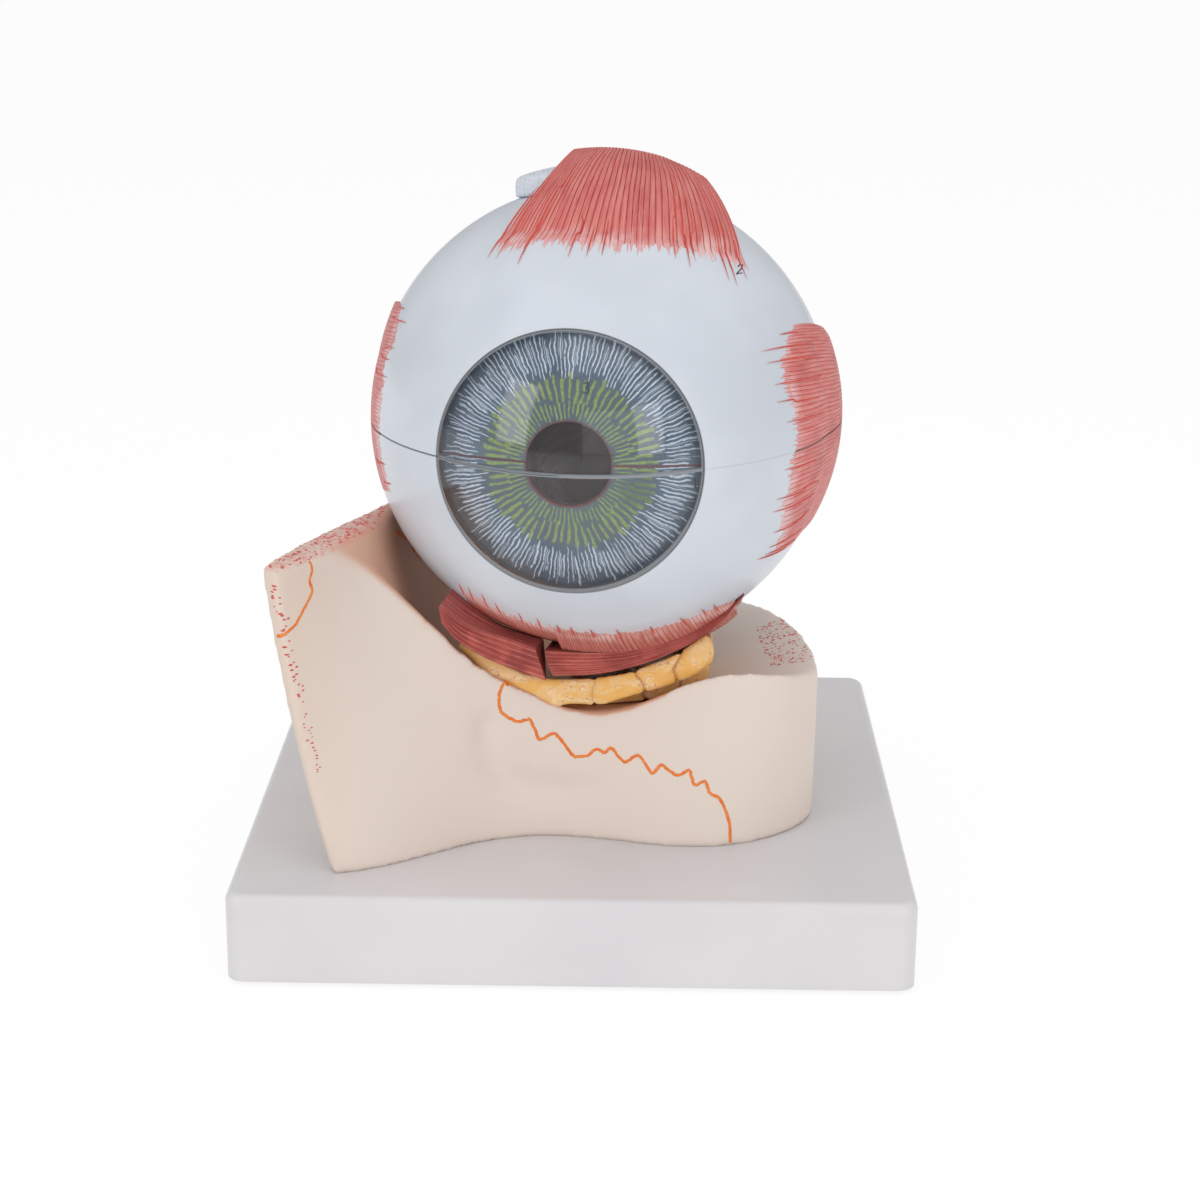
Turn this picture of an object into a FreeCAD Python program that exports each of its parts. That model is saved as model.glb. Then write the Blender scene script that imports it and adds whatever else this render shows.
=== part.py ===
import FreeCAD, Part
import math
import os
import Sketcher

# Five-times life-size eye on the floor and inner wall of its bony socket, on a square base.
# Row frame: X to the viewer's right, Y to the back, Z up, origin under the middle of the base.
# Eye frame: X to the temple, -Y along the gaze, Z up, origin at the middle of the globe.

DIMENSIONS = {
    # square base
    "base_side": 180.0,
    "base_top": 25.0,
    "base_wall": 3.0,
    "base_corner": 5.0,
    "base_edge": 2.5,
    "rim_gap": 1.0,
    "rib_width": 3.0,
    "post_radius": 8.0,
    "post_place": 77.0,
    "foot_radius": 7.0,
    "foot_thick": 2.0,
    "boss_radius": 5.0,
    "boss_low": 6.0,
    "screw_radius": 2.0,
    "screw_head_radius": 4.0,
    "screw_head_thick": 2.5,
    "screw_length": 32.0,
    "screw_left": -36.0,
    "screw_right": 42.0,
    "screw_front": -32.0,
    "screw_back": 48.0,
    # bone
    "bone_top": 109.5,
    "bone_waist": 65.0,
    "seat_radius": 63.0,
    # globe
    "eye_across": 6.1,
    "eye_back": -17.8,
    "eye_up": 136.3,
    "gaze_turn": -8.3,
    "sclera_radius": 62.5,
    "sclera_wall": 3.0,
    "choroid_radius": 59.2,
    "choroid_wall": 2.5,
    "parting_gap": 0.15,
    "limbus_radius": 34.1,
    "cornea_radius": 49.5,
    "cornea_wall": 2.0,
    "cornea_ahead": 16.4,
    "iris_radius": 88.0,
    "iris_wall": 2.0,
    "iris_apex": 53.7,
    "pupil_radius": 10.7,
    "ciliary_root": 33.5,
    "ciliary_root_ahead": 44.2,
    "ciliary_tip": 27.0,
    "ciliary_tip_ahead": 41.0,
    "ciliary_tail": 40.8,
    "ciliary_tail_ahead": 39.0,
    "lens_back": 28.0,
    "lens_back_radius": 30.0,
    "lens_front_radius": 50.0,
    "lens_radius": 24.0,
    "vitreous_radius": 56.3,
    "vitreous_dish": 126.0,
    "vitreous_front": 27.7,
    # what stands on and around the globe
    "pin_radius": 1.0,
    "pin_length": 5.0,
    "pin_ring": 61.0,
    "pin_fit": 0.1,
    "nerve_radius": 9.5,
    "nerve_end_radius": 8.5,
    "nerve_turn": 22.0,
    "nerve_leave": 15.8,
    "nerve_start": 58.0,
    "nerve_length": 34.0,
    "superior_swell": 55.3,
    "superior_swell_back": 10.5,
    "superior_swell_up": 18.2,
    "lateral_swell": 59.8,
    "lateral_swell_back": 8.0,
    "lateral_swell_out": 4.5,
    "medial_swell": 64.9,
    "medial_swell_back": 6.1,
    "medial_swell_out": -2.0,
    "medial_swell_up": 2.8,
    "inferior_swell": 60.0,
    "inferior_swell_back": 6.2,
    "inferior_swell_down": 8.6,
    "inferior_limit": 68.3,
    "band_front": -28.7,
    "band_depth": 24.0,
    "band_swell": 64.9,
    "band_swell_out": -9.0,
    "band_swell_down": 8.0,
    "tendon_radius": 68.0,
    # what stands on the bone
    "peg_radius": 3.0,
    "peg_fit": 0.3,
    "peg_collar": 8.0,
    "peg_low": 45.0,
    "peg_shoulder": 67.6,
    "peg_top": 75.8,
    "fat_gap": 0.6,
    "fat_front": -42.5,
    "fat_depth": 34.0,
    "fat_overhang": 8.0,
    "oblique_front": -46.5,
    "oblique_depth": 16.0,
}

doc = FreeCAD.newDocument("EyeModel")
sheet = doc.addObject("Spreadsheet::Sheet", "Dimensions")
for row, (alias, size) in enumerate(DIMENSIONS.items(), start=1):
    sheet.set(f"A{row}", alias)
    sheet.set(f"B{row}", str(size))
    sheet.setAlias(f"B{row}", alias)
doc.recompute()

# Everything in this dictionary is written out as a piece of the model.
pieces = {}

BIG = 400.0
HALVES = ("lower", "upper")


def read(alias):
    return float(sheet.get(alias))


def cell(formula):
    """Turns bare aliases in a formula into references to the sheet."""
    words = []
    for word in formula.split():
        words.append("Dimensions." + word if word in DIMENSIONS else word)
    return " ".join(words)


def bind(thing, **formulas):
    for name, formula in formulas.items():
        thing.setExpression(name, cell(formula))
    return thing


def place(thing, across="0", back="0", up="0"):
    thing.setExpression("Placement.Base.x", cell(across))
    thing.setExpression("Placement.Base.y", cell(back))
    thing.setExpression("Placement.Base.z", cell(up))
    return thing


def point(x, y, z):
    return FreeCAD.Vector(x, y, z)


# primitives and booleans

def sphere(name, radius, across="0", back="0", up="0"):
    ball = doc.addObject("Part::Sphere", name)
    bind(ball, Radius=radius)
    return place(ball, across, back, up)


def cylinder(name, radius, height, across="0", back="0", up="0"):
    rod = doc.addObject("Part::Cylinder", name)
    bind(rod, Radius=radius, Height=height)
    return place(rod, across, back, up)


def gaze_cylinder(name, radius):
    """A rod from the middle of the globe forward along the gaze."""
    rod = doc.addObject("Part::Cylinder", name)
    bind(rod, Radius=radius)
    rod.Height = BIG / 2
    rod.Placement = FreeCAD.Placement(point(0, 0, 0), FreeCAD.Rotation(point(1, 0, 0), 90))
    return rod


def cut(name, base, tool):
    result = doc.addObject("Part::Cut", name)
    result.Base = base
    result.Tool = tool
    return result


def common(name, base, tool):
    result = doc.addObject("Part::Common", name)
    result.Base = base
    result.Tool = tool
    return result


def fuse(name, parts):
    result = doc.addObject("Part::MultiFuse", name)
    result.Shapes = parts
    return result


def piece(label, thing):
    thing.Label = label
    pieces[label] = thing
    return thing


def in_eye(label, thing):
    """Puts a piece drawn in the eye frame where the globe sits."""
    thing.Placement = FreeCAD.Placement(point(0, 0, 0), FreeCAD.Rotation(point(0, 0, 1), read("gaze_turn")))
    thing.setExpression("Placement.Rotation.Angle", cell("gaze_turn"))
    return piece(label, place(thing, "eye_across", "eye_back", "eye_up"))


def half_space(name, side):
    """A block above or below the parting plane, standing off it by the parting gap."""
    block = doc.addObject("Part::Box", name)
    block.Length = BIG
    block.Width = BIG
    block.Height = BIG / 2
    start = "parting_gap" if side == "upper" else f"-1 * parting_gap - {BIG / 2}"
    return place(block, f"{-BIG / 2}", f"{-BIG / 2}", start)


# sketches

def origin_plane(body, role):
    for plane in body.Origin.OriginFeatures:
        if plane.Role == role:
            return plane


def sketch_on(body, name, role="XY_Plane", offset=None):
    drawing = body.newObject("Sketcher::SketchObject", name)
    drawing.AttachmentSupport = [(origin_plane(body, role), "")]
    drawing.MapMode = "FlatFace"
    if offset:
        drawing.setExpression("AttachmentOffset.Base.z", cell(offset))
    return drawing


def rectangle(drawing, width, depth, across="0", back="0"):
    """A rectangle about a centre; width, depth and centre are sheet formulas."""
    corners = [point(-1, -1, 0), point(1, -1, 0), point(1, 1, 0), point(-1, 1, 0)]
    first = drawing.GeometryCount
    for start, end in zip(corners, corners[1:] + corners[:1]):
        drawing.addGeometry(Part.LineSegment(start, end), False)
    for side in range(4):
        following = first + (side + 1) % 4
        drawing.addConstraint(Sketcher.Constraint("Coincident", first + side, 2, following, 1))
        direction = "Vertical" if side % 2 else "Horizontal"
        drawing.addConstraint(Sketcher.Constraint(direction, first + side))
    low = drawing.addConstraint(Sketcher.Constraint("DistanceX", -1, 1, first, 1, -1.0))
    front = drawing.addConstraint(Sketcher.Constraint("DistanceY", -1, 1, first, 1, -1.0))
    wide = drawing.addConstraint(Sketcher.Constraint("DistanceX", first, 1, first, 2, 2.0))
    deep = drawing.addConstraint(Sketcher.Constraint("DistanceY", first + 1, 1, first + 1, 2, 2.0))
    drawing.setExpression(f"Constraints[{wide}]", cell(width))
    drawing.setExpression(f"Constraints[{deep}]", cell(depth))
    drawing.setExpression(f"Constraints[{low}]", cell(f"{across} - ( {width} ) / 2"))
    drawing.setExpression(f"Constraints[{front}]", cell(f"{back} - ( {depth} ) / 2"))


def circle(drawing, radius, across, back):
    ring = drawing.addGeometry(Part.Circle(point(1, 1, 0), point(0, 0, 1), 1), False)
    size = drawing.addConstraint(Sketcher.Constraint("Radius", ring, 1.0))
    along = drawing.addConstraint(Sketcher.Constraint("DistanceX", -1, 1, ring, 3, 1.0))
    deep = drawing.addConstraint(Sketcher.Constraint("DistanceY", -1, 1, ring, 3, 1.0))
    drawing.setExpression(f"Constraints[{size}]", cell(radius))
    drawing.setExpression(f"Constraints[{along}]", cell(across))
    drawing.setExpression(f"Constraints[{deep}]", cell(back))


def pad(body, name, drawing, length):
    feature = body.newObject("PartDesign::Pad", name)
    feature.Profile = drawing
    return bind(feature, Length=length)


def pocket(body, name, drawing, length, reverse):
    feature = body.newObject("PartDesign::Pocket", name)
    feature.Profile = drawing
    feature.Reversed = reverse
    return bind(feature, Length=length)


def edges_where(feature, test):
    """Names of the edges whose middle passes a test."""
    chosen = []
    for number, edge in enumerate(feature.Shape.Edges, start=1):
        middle = edge.valueAt((edge.FirstParameter + edge.LastParameter) / 2)
        if test(edge, middle):
            chosen.append(f"Edge{number}")
    return chosen


def round_edges(body, name, feature, radius, test):
    doc.recompute()
    blend = body.newObject("PartDesign::Fillet", name)
    blend.Base = (feature, edges_where(feature, test))
    return bind(blend, Radius=radius)


# base

SCREWS = (
    ("screw_left", "0"),
    ("screw_right", "0"),
    ("0", "screw_front"),
    ("0", "screw_back"),
)

CORNERS = (
    ("-1 * post_place", "-1 * post_place"),
    ("post_place", "-1 * post_place"),
    ("post_place", "post_place"),
    ("-1 * post_place", "post_place"),
)


def base_tray():
    """A square moulding, open underneath, with crossed ribs, four screw bosses and four corner posts."""
    body = doc.addObject("PartDesign::Body", "BaseTray")
    outline = sketch_on(body, "BaseOutline", offset="rim_gap")
    rectangle(outline, "base_side", "base_side")
    block = pad(body, "BaseBlock", outline, "base_top - rim_gap")
    top = read("base_top")

    def upright(edge, middle):
        return abs(edge.tangentAt(edge.FirstParameter).z) > 0.9

    def on_top(edge, middle):
        return abs(middle.z - top) < 0.01

    corners = round_edges(body, "BaseCorners", block, "base_corner", upright)
    edges = round_edges(body, "BaseTopEdge", corners, "base_edge", on_top)
    hollow = sketch_on(body, "BaseHollow", offset="rim_gap")
    rectangle(hollow, "base_side - 2 * base_wall", "base_side - 2 * base_wall")
    doc.recompute()
    before = edges.Shape.Volume
    emptied = pocket(body, "BaseInside", hollow, "base_top - rim_gap - base_wall", True)
    doc.recompute()
    if emptied.Shape.Volume > 0.5 * before:
        raise RuntimeError("the hollow under the base points the wrong way")
    inside = "base_side - 2 * base_wall + 1"
    for name, wide, deep in (("RibAcross", inside, "rib_width"), ("RibAlong", "rib_width", inside)):
        rib = sketch_on(body, name + "Line", offset="rim_gap + base_wall")
        rectangle(rib, wide, deep)
        pad(body, name, rib, "base_top - rim_gap - 1.5 * base_wall")
    bosses = sketch_on(body, "BossCircles", offset="boss_low")
    for across, back in SCREWS:
        circle(bosses, "boss_radius", across, back)
    pad(body, "Bosses", bosses, "base_top - boss_low - base_wall / 2")
    posts = sketch_on(body, "PostCircles", offset="foot_thick")
    for across, back in CORNERS:
        circle(posts, "post_radius", across, back)
    pad(body, "Posts", posts, "base_top - foot_thick - base_wall / 2")
    for name, radius, start, depth in (
        ("ScrewBores", "screw_radius", "0", "base_top + 1"),
        ("HeadBores", "screw_head_radius + 0.2", "0", "boss_low + screw_head_thick"),
    ):
        bores = sketch_on(body, name + "Circles", offset=start)
        for across, back in SCREWS:
            circle(bores, radius, across, back)
        pocket(body, name, bores, depth, True)
    return piece("base_tray", body)


def rubber_feet():
    """Four round pads stuck under the corner posts; they lift the moulding's rim clear."""
    feet = []
    for number, (across, back) in enumerate(CORNERS, start=1):
        feet.append(cylinder(f"Foot{number}", "foot_radius", "foot_thick", across, back))
    return piece("rubber_feet", fuse("RubberFeet", feet))


def orbit_screws():
    """Four pan-head screws that hold the bone down from below."""
    parts = []
    seat = "boss_low + screw_head_thick"
    for number, (across, back) in enumerate(SCREWS, start=1):
        name = f"ScrewHead{number}"
        parts.append(cylinder(name, "screw_head_radius", "screw_head_thick", across, back, "boss_low"))
        parts.append(cylinder(f"ScrewShank{number}", "screw_radius", "screw_length", across, back, seat))
    return piece("orbit_screws", fuse("OrbitScrews", parts))


# bone

# Plan outlines of the bone at three heights. Each runs from the cut front end of the inner wall
# along the cheek to the outer side, on to the point of the orbit, and back along the inner wall.
BONE_FOOT = {
    "front": [
        (-62.9, -75.1), (-45, -66.5), (-28.2, -54.2), (-13.9, -48.1),
        (5, -48.6), (35, -53.8), (56, -44.5), (66.1, -29.1),
    ],
    "outer": [(66.1, -29.1), (65.5, -10), (60, 15), (46, 42), (26, 62), (4, 72)],
    "inner": [(4, 72), (-18, 58), (-36, 30), (-47, 0), (-54, -30), (-64.4, -70.5)],
}
BONE_WAIST = {
    "front": [
        (-71.4, -73.2), (-56, -62.5), (-38, -52), (-18, -44.5),
        (5, -43), (33, -47), (54, -43.2), (66.4, -29.6),
    ],
    "outer": [(66.4, -29.6), (65, -9), (60, 9), (48, 40), (28, 62), (4, 74)],
    "inner": [(4, 74), (-18, 60), (-36, 34), (-48, 4), (-58, -28), (-73.8, -70)],
}
BONE_BROW = {
    "front": [
        (-75.5, -77), (-67.8, -65.8), (-57, -49.5), (-34, -42.5),
        (5, -40), (33, -43), (54, -40.5), (66.4, -29.6),
    ],
    "outer": [(66.4, -29.6), (65, -9), (60, 9), (48, 40), (28, 62), (4, 76)],
    "inner": [(4, 76), (-20, 64), (-40.5, 36), (-53, -6), (-67, -38), (-80, -73)],
}

# Cross sections of the orbit's floor and inner wall: distance back, then (across, up) from the
# wall's top down to the floor and over to the outer side. The first two are the orbital rim.
RIM = [
    (-62, 112.8), (-49.2, 96.2), (-38, 84.8), (-25.7, 75.2), (-12.7, 69.4),
    (5, 60.6), (26, 68.2), (47, 73.8), (85, 58),
]
ORBIT_FLOOR = (
    (-100, RIM),
    (-46, RIM),
    (-31, [(-54, 112), (-50, 97), (-44, 81), (-35, 67), (-17, 59.6), (5, 58.4), (26, 60), (48, 66), (85, 66)]),
    (-8, [(-51, 112), (-48, 96), (-42, 79), (-34, 66.5), (-18, 59), (3, 58), (24, 59), (46, 66), (85, 66)]),
    (20, [(-41, 112), (-38.5, 96), (-33, 80), (-27, 68.5), (-14, 61), (3, 60), (20, 61), (40, 66), (85, 66)]),
    (46, [(-27, 112), (-26, 102), (-22.5, 91), (-17, 80), (-8, 72), (2, 69), (12, 68), (26, 67), (85, 66)]),
    (95, [(-14, 118), (-13, 114), (-11, 110), (-8, 106), (-3, 100), (4, 93), (12, 86), (24, 78), (85, 70)]),
)


def curve(points):
    line = Part.BSplineCurve()
    line.interpolate(points)
    return line.toShape()


def plan_wire(outline, height):
    """A closed plan outline: three smooth sides and the straight cut at the inner wall's front end."""
    sides = []
    for side in ("front", "outer", "inner"):
        sides.append(curve([point(x, y, height) for x, y in outline[side]]))
    start = point(*outline["inner"][-1], height)
    end = point(*outline["front"][0], height)
    sides.append(Part.makeLine(start, end))
    return Part.Wire(sides)


def section_wire(back, line, ceiling):
    """A floor section closed high above the orbit."""
    points = [point(x, back, z) for x, z in line]
    left = point(points[0].x, back, ceiling)
    right = point(points[-1].x, back, ceiling)
    sides = [Part.makeLine(points[-1], right), Part.makeLine(right, left), Part.makeLine(left, points[0])]
    return Part.Wire([curve(points)] + sides)


def orbital_bone():
    """Cheek, floor and inner wall of the orbit in one casting, hollowed for the globe."""
    levels = (
        (BONE_FOOT, read("base_top")),
        (BONE_WAIST, read("bone_waist")),
        (BONE_BROW, read("bone_top")),
    )
    block = Part.makeLoft([plan_wire(outline, height) for outline, height in levels], True, False)
    room = Part.makeLoft([section_wire(back, line, 200.0) for back, line in ORBIT_FLOOR], True, False)
    shape = block.cut(room)
    casting = doc.addObject("Part::Feature", "BoneCasting")
    casting.Shape = shape
    tools = [sphere("GlobeRoom", "seat_radius", "eye_across", "eye_back", "eye_up")]
    seat = "boss_low + screw_head_thick"
    for number, (across, back) in enumerate(SCREWS, start=1):
        tools.append(cylinder(f"PilotHole{number}", "screw_radius", "screw_length", across, back, seat))
    peg_length = "peg_shoulder - peg_low"
    tools.append(cylinder("PegHole", "peg_radius", peg_length, "eye_across", "eye_back", "peg_low"))
    tools.append(cylinder("CollarHole", "peg_collar", "20", "eye_across", "eye_back", "peg_shoulder - 10"))
    return piece("orbital_bone", cut("OrbitalBone", casting, fuse("BoneTools", tools)))


def prism_xz(name, outline, back, depth):
    """A solid drawn in the X-Z plane and carried straight back."""
    points = [point(x, 0, z) for x, z in outline]
    face = Part.Face(Part.Wire([curve(points + points[:1])]))
    solid = doc.addObject("Part::Feature", name)
    solid.Shape = face.extrude(point(0, read(depth), 0))
    solid.Placement = FreeCAD.Placement(point(0, read(back), 0), FreeCAD.Rotation())
    return solid


# Front outlines (across, up) of the soft parts that stay in the orbit.
OBLIQUE_OUTLINE = [
    (-33, 95.5), (-37, 90), (-35.8, 85), (-31, 79.8), (-22, 74.6),
    (-9.5, 69.6), (-7.6, 72), (-9.3, 79.5), (-20, 84), (-27, 90),
]
FAT_OUTLINE = [
    (-32, 78), (-24, 70), (-14, 57), (6, 54), (26, 57), (36.8, 70),
    (35, 81), (22, 79), (6, 75), (-8, 74), (-22, 79),
]
# What is left out under the pad's front lip, so that it stands clear of the orbital rim.
FAT_UNDERCUT = [
    (-9, 58), (-4, 62.4), (5, 62.4), (16.7, 65.8), (31, 70.9), (44, 80), (40, 50), (0, 44),
]
# The oblique muscle's end hangs over the fat only to the right of this plane.
BAND_ROOM_LEFT = -10.0


def fat_room():
    """The space over the fat for the globe, its lower straight muscle and the oblique muscle's end."""
    ball = sphere("FatGlobeRoom", "sclera_radius + 2 * fat_gap", "eye_across", "eye_back", "eye_up")
    stump = sphere(
        "FatStumpRoom", "inferior_swell + fat_gap", "eye_across - inferior_swell_back * sin( gaze_turn )",
        "eye_back + inferior_swell_back", "eye_up - inferior_swell_down")
    swell = sphere(
        "FatBandSwell", "band_swell + fat_gap", "eye_across + band_swell_out",
        "eye_back + band_swell_out * sin( gaze_turn )", "eye_up - band_swell_down")
    side = doc.addObject("Part::Box", "FatBandSide")
    side.Length = BIG
    side.Width = BIG
    side.Height = BIG
    place(side, f"{BAND_ROOM_LEFT}", f"{-BIG / 2}", "0")
    return fuse("FatRoom", [ball, stump, common("FatBandRoom", swell, side)])


def soft_parts():
    """The lower oblique muscle and the fat under the globe, both bedded on the bone."""
    reach = sphere("ObliqueRoom", "seat_radius", "eye_across", "eye_back", "eye_up")
    block = prism_xz("ObliqueBlock", OBLIQUE_OUTLINE, "oblique_front", "oblique_depth")
    oblique = cut("ObliqueOnBone", cut("ObliqueUnderGlobe", block, reach), pieces["orbital_bone"])
    piece("inferior_oblique", oblique)
    collar = cylinder("FatCollarHole", "peg_collar + 0.2", "40", "eye_across", "eye_back", "peg_low")
    pad_block = prism_xz("FatBlock", FAT_OUTLINE, "fat_front", "fat_depth")
    undercut = prism_xz("FatUndercut", FAT_UNDERCUT, "fat_front", "fat_overhang")
    clear = cut("FatUnderGlobe", pad_block, fuse("FatTools", [fat_room(), collar, undercut]))
    bedded = cut("FatOnBone", clear, pieces["orbital_bone"])
    piece("orbital_fat_pad", cut("OrbitalFat", bedded, oblique))


def globe_peg():
    """A turned post in the floor: its shoulder carries the globe and its tip enters the sclera."""
    low = cylinder("PegShank", "peg_radius", "peg_shoulder - peg_low", "eye_across", "eye_back", "peg_low")
    collar = cylinder("PegCollar", "peg_collar", "10", "eye_across", "eye_back", "peg_shoulder - 10")
    tip = cylinder("PegTip", "peg_radius", "peg_top - peg_shoulder", "eye_across", "eye_back", "peg_shoulder")
    return piece("globe_peg", fuse("GlobePeg", [low, collar, tip]))


# globe

# Where the three locating dowels stand round the rim, from the temple towards the back.
PIN_ANGLES = (-20.0, 65.0, 200.0)


def shell(name, radius, wall):
    return cut(name, sphere(name + "Outside", radius), sphere(name + "Inside", f"{radius} - {wall}"))


def halves(label, thing):
    """Splits a piece of the globe at the parting plane into a lower and an upper node."""
    for side in HALVES:
        side_last = label.endswith("rectus") or label.endswith("nerve")
        name = label + "_" + side if side_last else side + "_" + label
        in_eye(name, common(name.title().replace("_", ""), thing, half_space(name + "_side", side)))


def nerve_cone(name):
    """The optic nerve's stub, leaving the back of the globe towards the nose."""
    cone = doc.addObject("Part::Cone", name)
    bind(cone, Radius1="nerve_radius", Radius2="nerve_end_radius", Height="nerve_length")
    turn = math.radians(read("nerve_turn"))
    leave = math.radians(read("nerve_leave"))
    base = point(-math.sin(leave), math.cos(leave), 0) * read("nerve_start")
    direction = point(-math.sin(turn), math.cos(turn), 0)
    cone.Placement = FreeCAD.Placement(base, FreeCAD.Rotation(point(0, 0, 1), direction))
    return cone


def peg_bore(name):
    """The bore for the peg, in the eye frame, straight down from the middle of the globe."""
    return cylinder(name, "peg_radius + peg_fit", "40", "0", "0", "-80")


def sclera():
    """The white outer wall in two halves; the dowels are tight in the lower and free in the upper."""
    walls = shell("ScleraShell", "sclera_radius", "sclera_wall")
    window = gaze_cylinder("ScleraWindow", "limbus_radius")
    tools = [window, nerve_cone("ScleraNerveHole"), peg_bore("ScleraPegHole")]
    whole = cut("ScleraWalls", walls, fuse("ScleraTools", tools))
    for side, radius in (("lower", "pin_radius"), ("upper", "pin_radius + pin_fit")):
        half = common(side + "ScleraHalf", whole, half_space(side + "ScleraSide", side))
        in_eye(side + "_sclera", cut(side + "Sclera", half, dowels(side + "PinHoles", radius)))


def dowels(name, radius):
    """Three upright rods in the sclera's rim: two at the sides and one beside the nerve."""
    rods = []
    for number, angle in enumerate(PIN_ANGLES, start=1):
        across = f"pin_ring * {math.cos(math.radians(angle)):.5f}"
        back = f"pin_ring * {math.sin(math.radians(angle)):.5f}"
        rods.append(cylinder(f"{name}{number}", radius, "pin_length", across, back, "-0.5 * pin_length"))
    return fuse(name, rods)


def sclera_pins():
    in_eye("sclera_pins", dowels("ScleraPins", "pin_radius"))


def cornea():
    outside = sphere("CorneaOutside", "cornea_radius", "0", "-1 * cornea_ahead")
    inside = sphere("CorneaInside", "cornea_radius - cornea_wall", "0", "-1 * cornea_ahead")
    shell = cut("CorneaShell", outside, inside)
    halves("cornea", common("CorneaCap", shell, gaze_cylinder("CorneaRim", "limbus_radius")))


def choroid():
    walls = shell("ChoroidShell", "choroid_radius", "choroid_wall")
    halves("choroid", cut("ChoroidWalls", walls, gaze_cylinder("ChoroidWindow", "limbus_radius")))


def iris():
    """A shallow dome with a round pupil, set in the choroid's front opening."""
    back = "iris_radius - iris_apex"
    dome = cut("IrisShell", sphere("IrisOutside", "iris_radius", "0", back),
               sphere("IrisInside", "iris_radius - iris_wall", "0", back))
    disc = common("IrisDisc", dome, gaze_cylinder("IrisRim", "limbus_radius"))
    halves("iris", cut("IrisWithPupil", disc, gaze_cylinder("PupilHole", "pupil_radius")))


def ring_from_profile(name, corners):
    """Turns a closed profile of (radius, ahead) points about the gaze axis."""
    points = [point(read(radius), -read(ahead), 0) for radius, ahead in corners]
    face = Part.Face(Part.makePolygon(points + points[:1]))
    ring = doc.addObject("Part::Feature", name)
    ring.Shape = face.revolve(point(0, 0, 0), point(0, 1, 0), 360)
    return ring


def ciliary_body():
    corners = (
        ("ciliary_root", "ciliary_root_ahead"),
        ("ciliary_tail", "ciliary_tail_ahead"),
        ("ciliary_tip", "ciliary_tip_ahead"),
    )
    halves("ciliary_body", ring_from_profile("CiliaryRing", corners))


def lens():
    """A biconvex lens, flatter in front, bounded by its equator."""
    front_centre = "lens_front_radius - lens_back - lens_thick"
    thick = (
        read("lens_back_radius") - math.sqrt(read("lens_back_radius") ** 2 - read("lens_radius") ** 2)
        + read("lens_front_radius") - math.sqrt(read("lens_front_radius") ** 2 - read("lens_radius") ** 2)
    )
    front = sphere("LensFront", "lens_front_radius", "0", front_centre.replace("lens_thick", f"{thick:.4f}"))
    back = sphere("LensBack", "lens_back_radius", "0", "-1 * ( lens_back + lens_back_radius )")
    in_eye("lens", common("Lens", front, back))


def vitreous_body():
    ball = sphere("VitreousBall", "vitreous_radius")
    dish = sphere("VitreousDish", "vitreous_dish", "0", "-1 * ( vitreous_front + vitreous_dish )")
    in_eye("vitreous_body", cut("VitreousBody", ball, dish))


# muscles on the globe

def flat_prism(name, outline, plane, reach):
    """A solid drawn in one of the eye frame's planes and carried outwards from it."""
    makers = {
        "top": (lambda a, b: point(a, b, 0), point(0, 0, reach)),
        "bottom": (lambda a, b: point(a, b, 0), point(0, 0, -reach)),
        "temple": (lambda a, b: point(0, a, b), point(reach, 0, 0)),
        "nose": (lambda a, b: point(0, a, b), point(-reach, 0, 0)),
        "front": (lambda a, b: point(a, 0, b), point(0, reach, 0)),
    }
    maker, direction = makers[plane]
    points = [maker(a, b) for a, b in outline]
    solid = doc.addObject("Part::Feature", name)
    solid.Shape = Part.Face(Part.makePolygon(points + points[:1])).extrude(direction)
    return solid


# Outlines of the muscles' stumps: (across, back) for the upper and lower ones and
# (back, up) for the side ones.
SUPERIOR_OUTLINE = [
    (-22, -24), (-20, -31), (-10, -33), (2, -34.5), (14, -32), (28, -25),
    (38, -14), (38, -7), (30, -5), (27, 4), (10, 6), (-8, 5), (-12, -6), (-18, -18),
]
INFERIOR_OUTLINE = [
    (-7, -41), (5, -40), (17, -37), (28, -34), (39, -26), (41, -14),
    (32, 0), (16, 10), (-5, 11), (-8, -12),
]
LATERAL_OUTLINE = [
    (-14, 32), (-22, 28), (-31, 16), (-31, 4), (-34, -6), (-27, -25), (-22, -31),
    (9, -32), (12, -20), (13, 0), (13, 15), (12, 26),
]
MEDIAL_OUTLINE = [
    (-10, 33), (-22, 28), (-24, 22), (-20, 16), (-20, -4), (-24, -20), (-22, -28),
    (8, -24), (13, -10), (14, 6), (12, 26),
]
TENDON_OUTLINE = [(-24.5, 1), (-20, -5), (-13, -9), (-7, 5), (-9, 11), (-17, 12), (-23, 9)]
# The oblique muscle's end under the globe, (across, up) from the globe's centre, seen squarely
# from the front of the base.
BAND_OUTLINE = [
    (-12.2, -59), (-10.8, -58.1), (-1.1, -58.1), (11.9, -56.7), (24.9, -52.1), (32.9, -46.9),
    (38.6, -41.6), (39.2, -42.6), (32.6, -49.5), (24.4, -56), (12.1, -61.6), (0, -64.7),
    (-9.6, -65.6), (-11.6, -64.4),
]


def muscle(name, outline, plane, swell):
    """A stump whose underside is the globe and whose back swells away from it."""
    prism = flat_prism(name + "Prism", outline, plane, 100.0)
    body = common(name + "Bulk", prism, swell)
    return cut(name, body, sphere(name + "Bed", "sclera_radius"))


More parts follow.
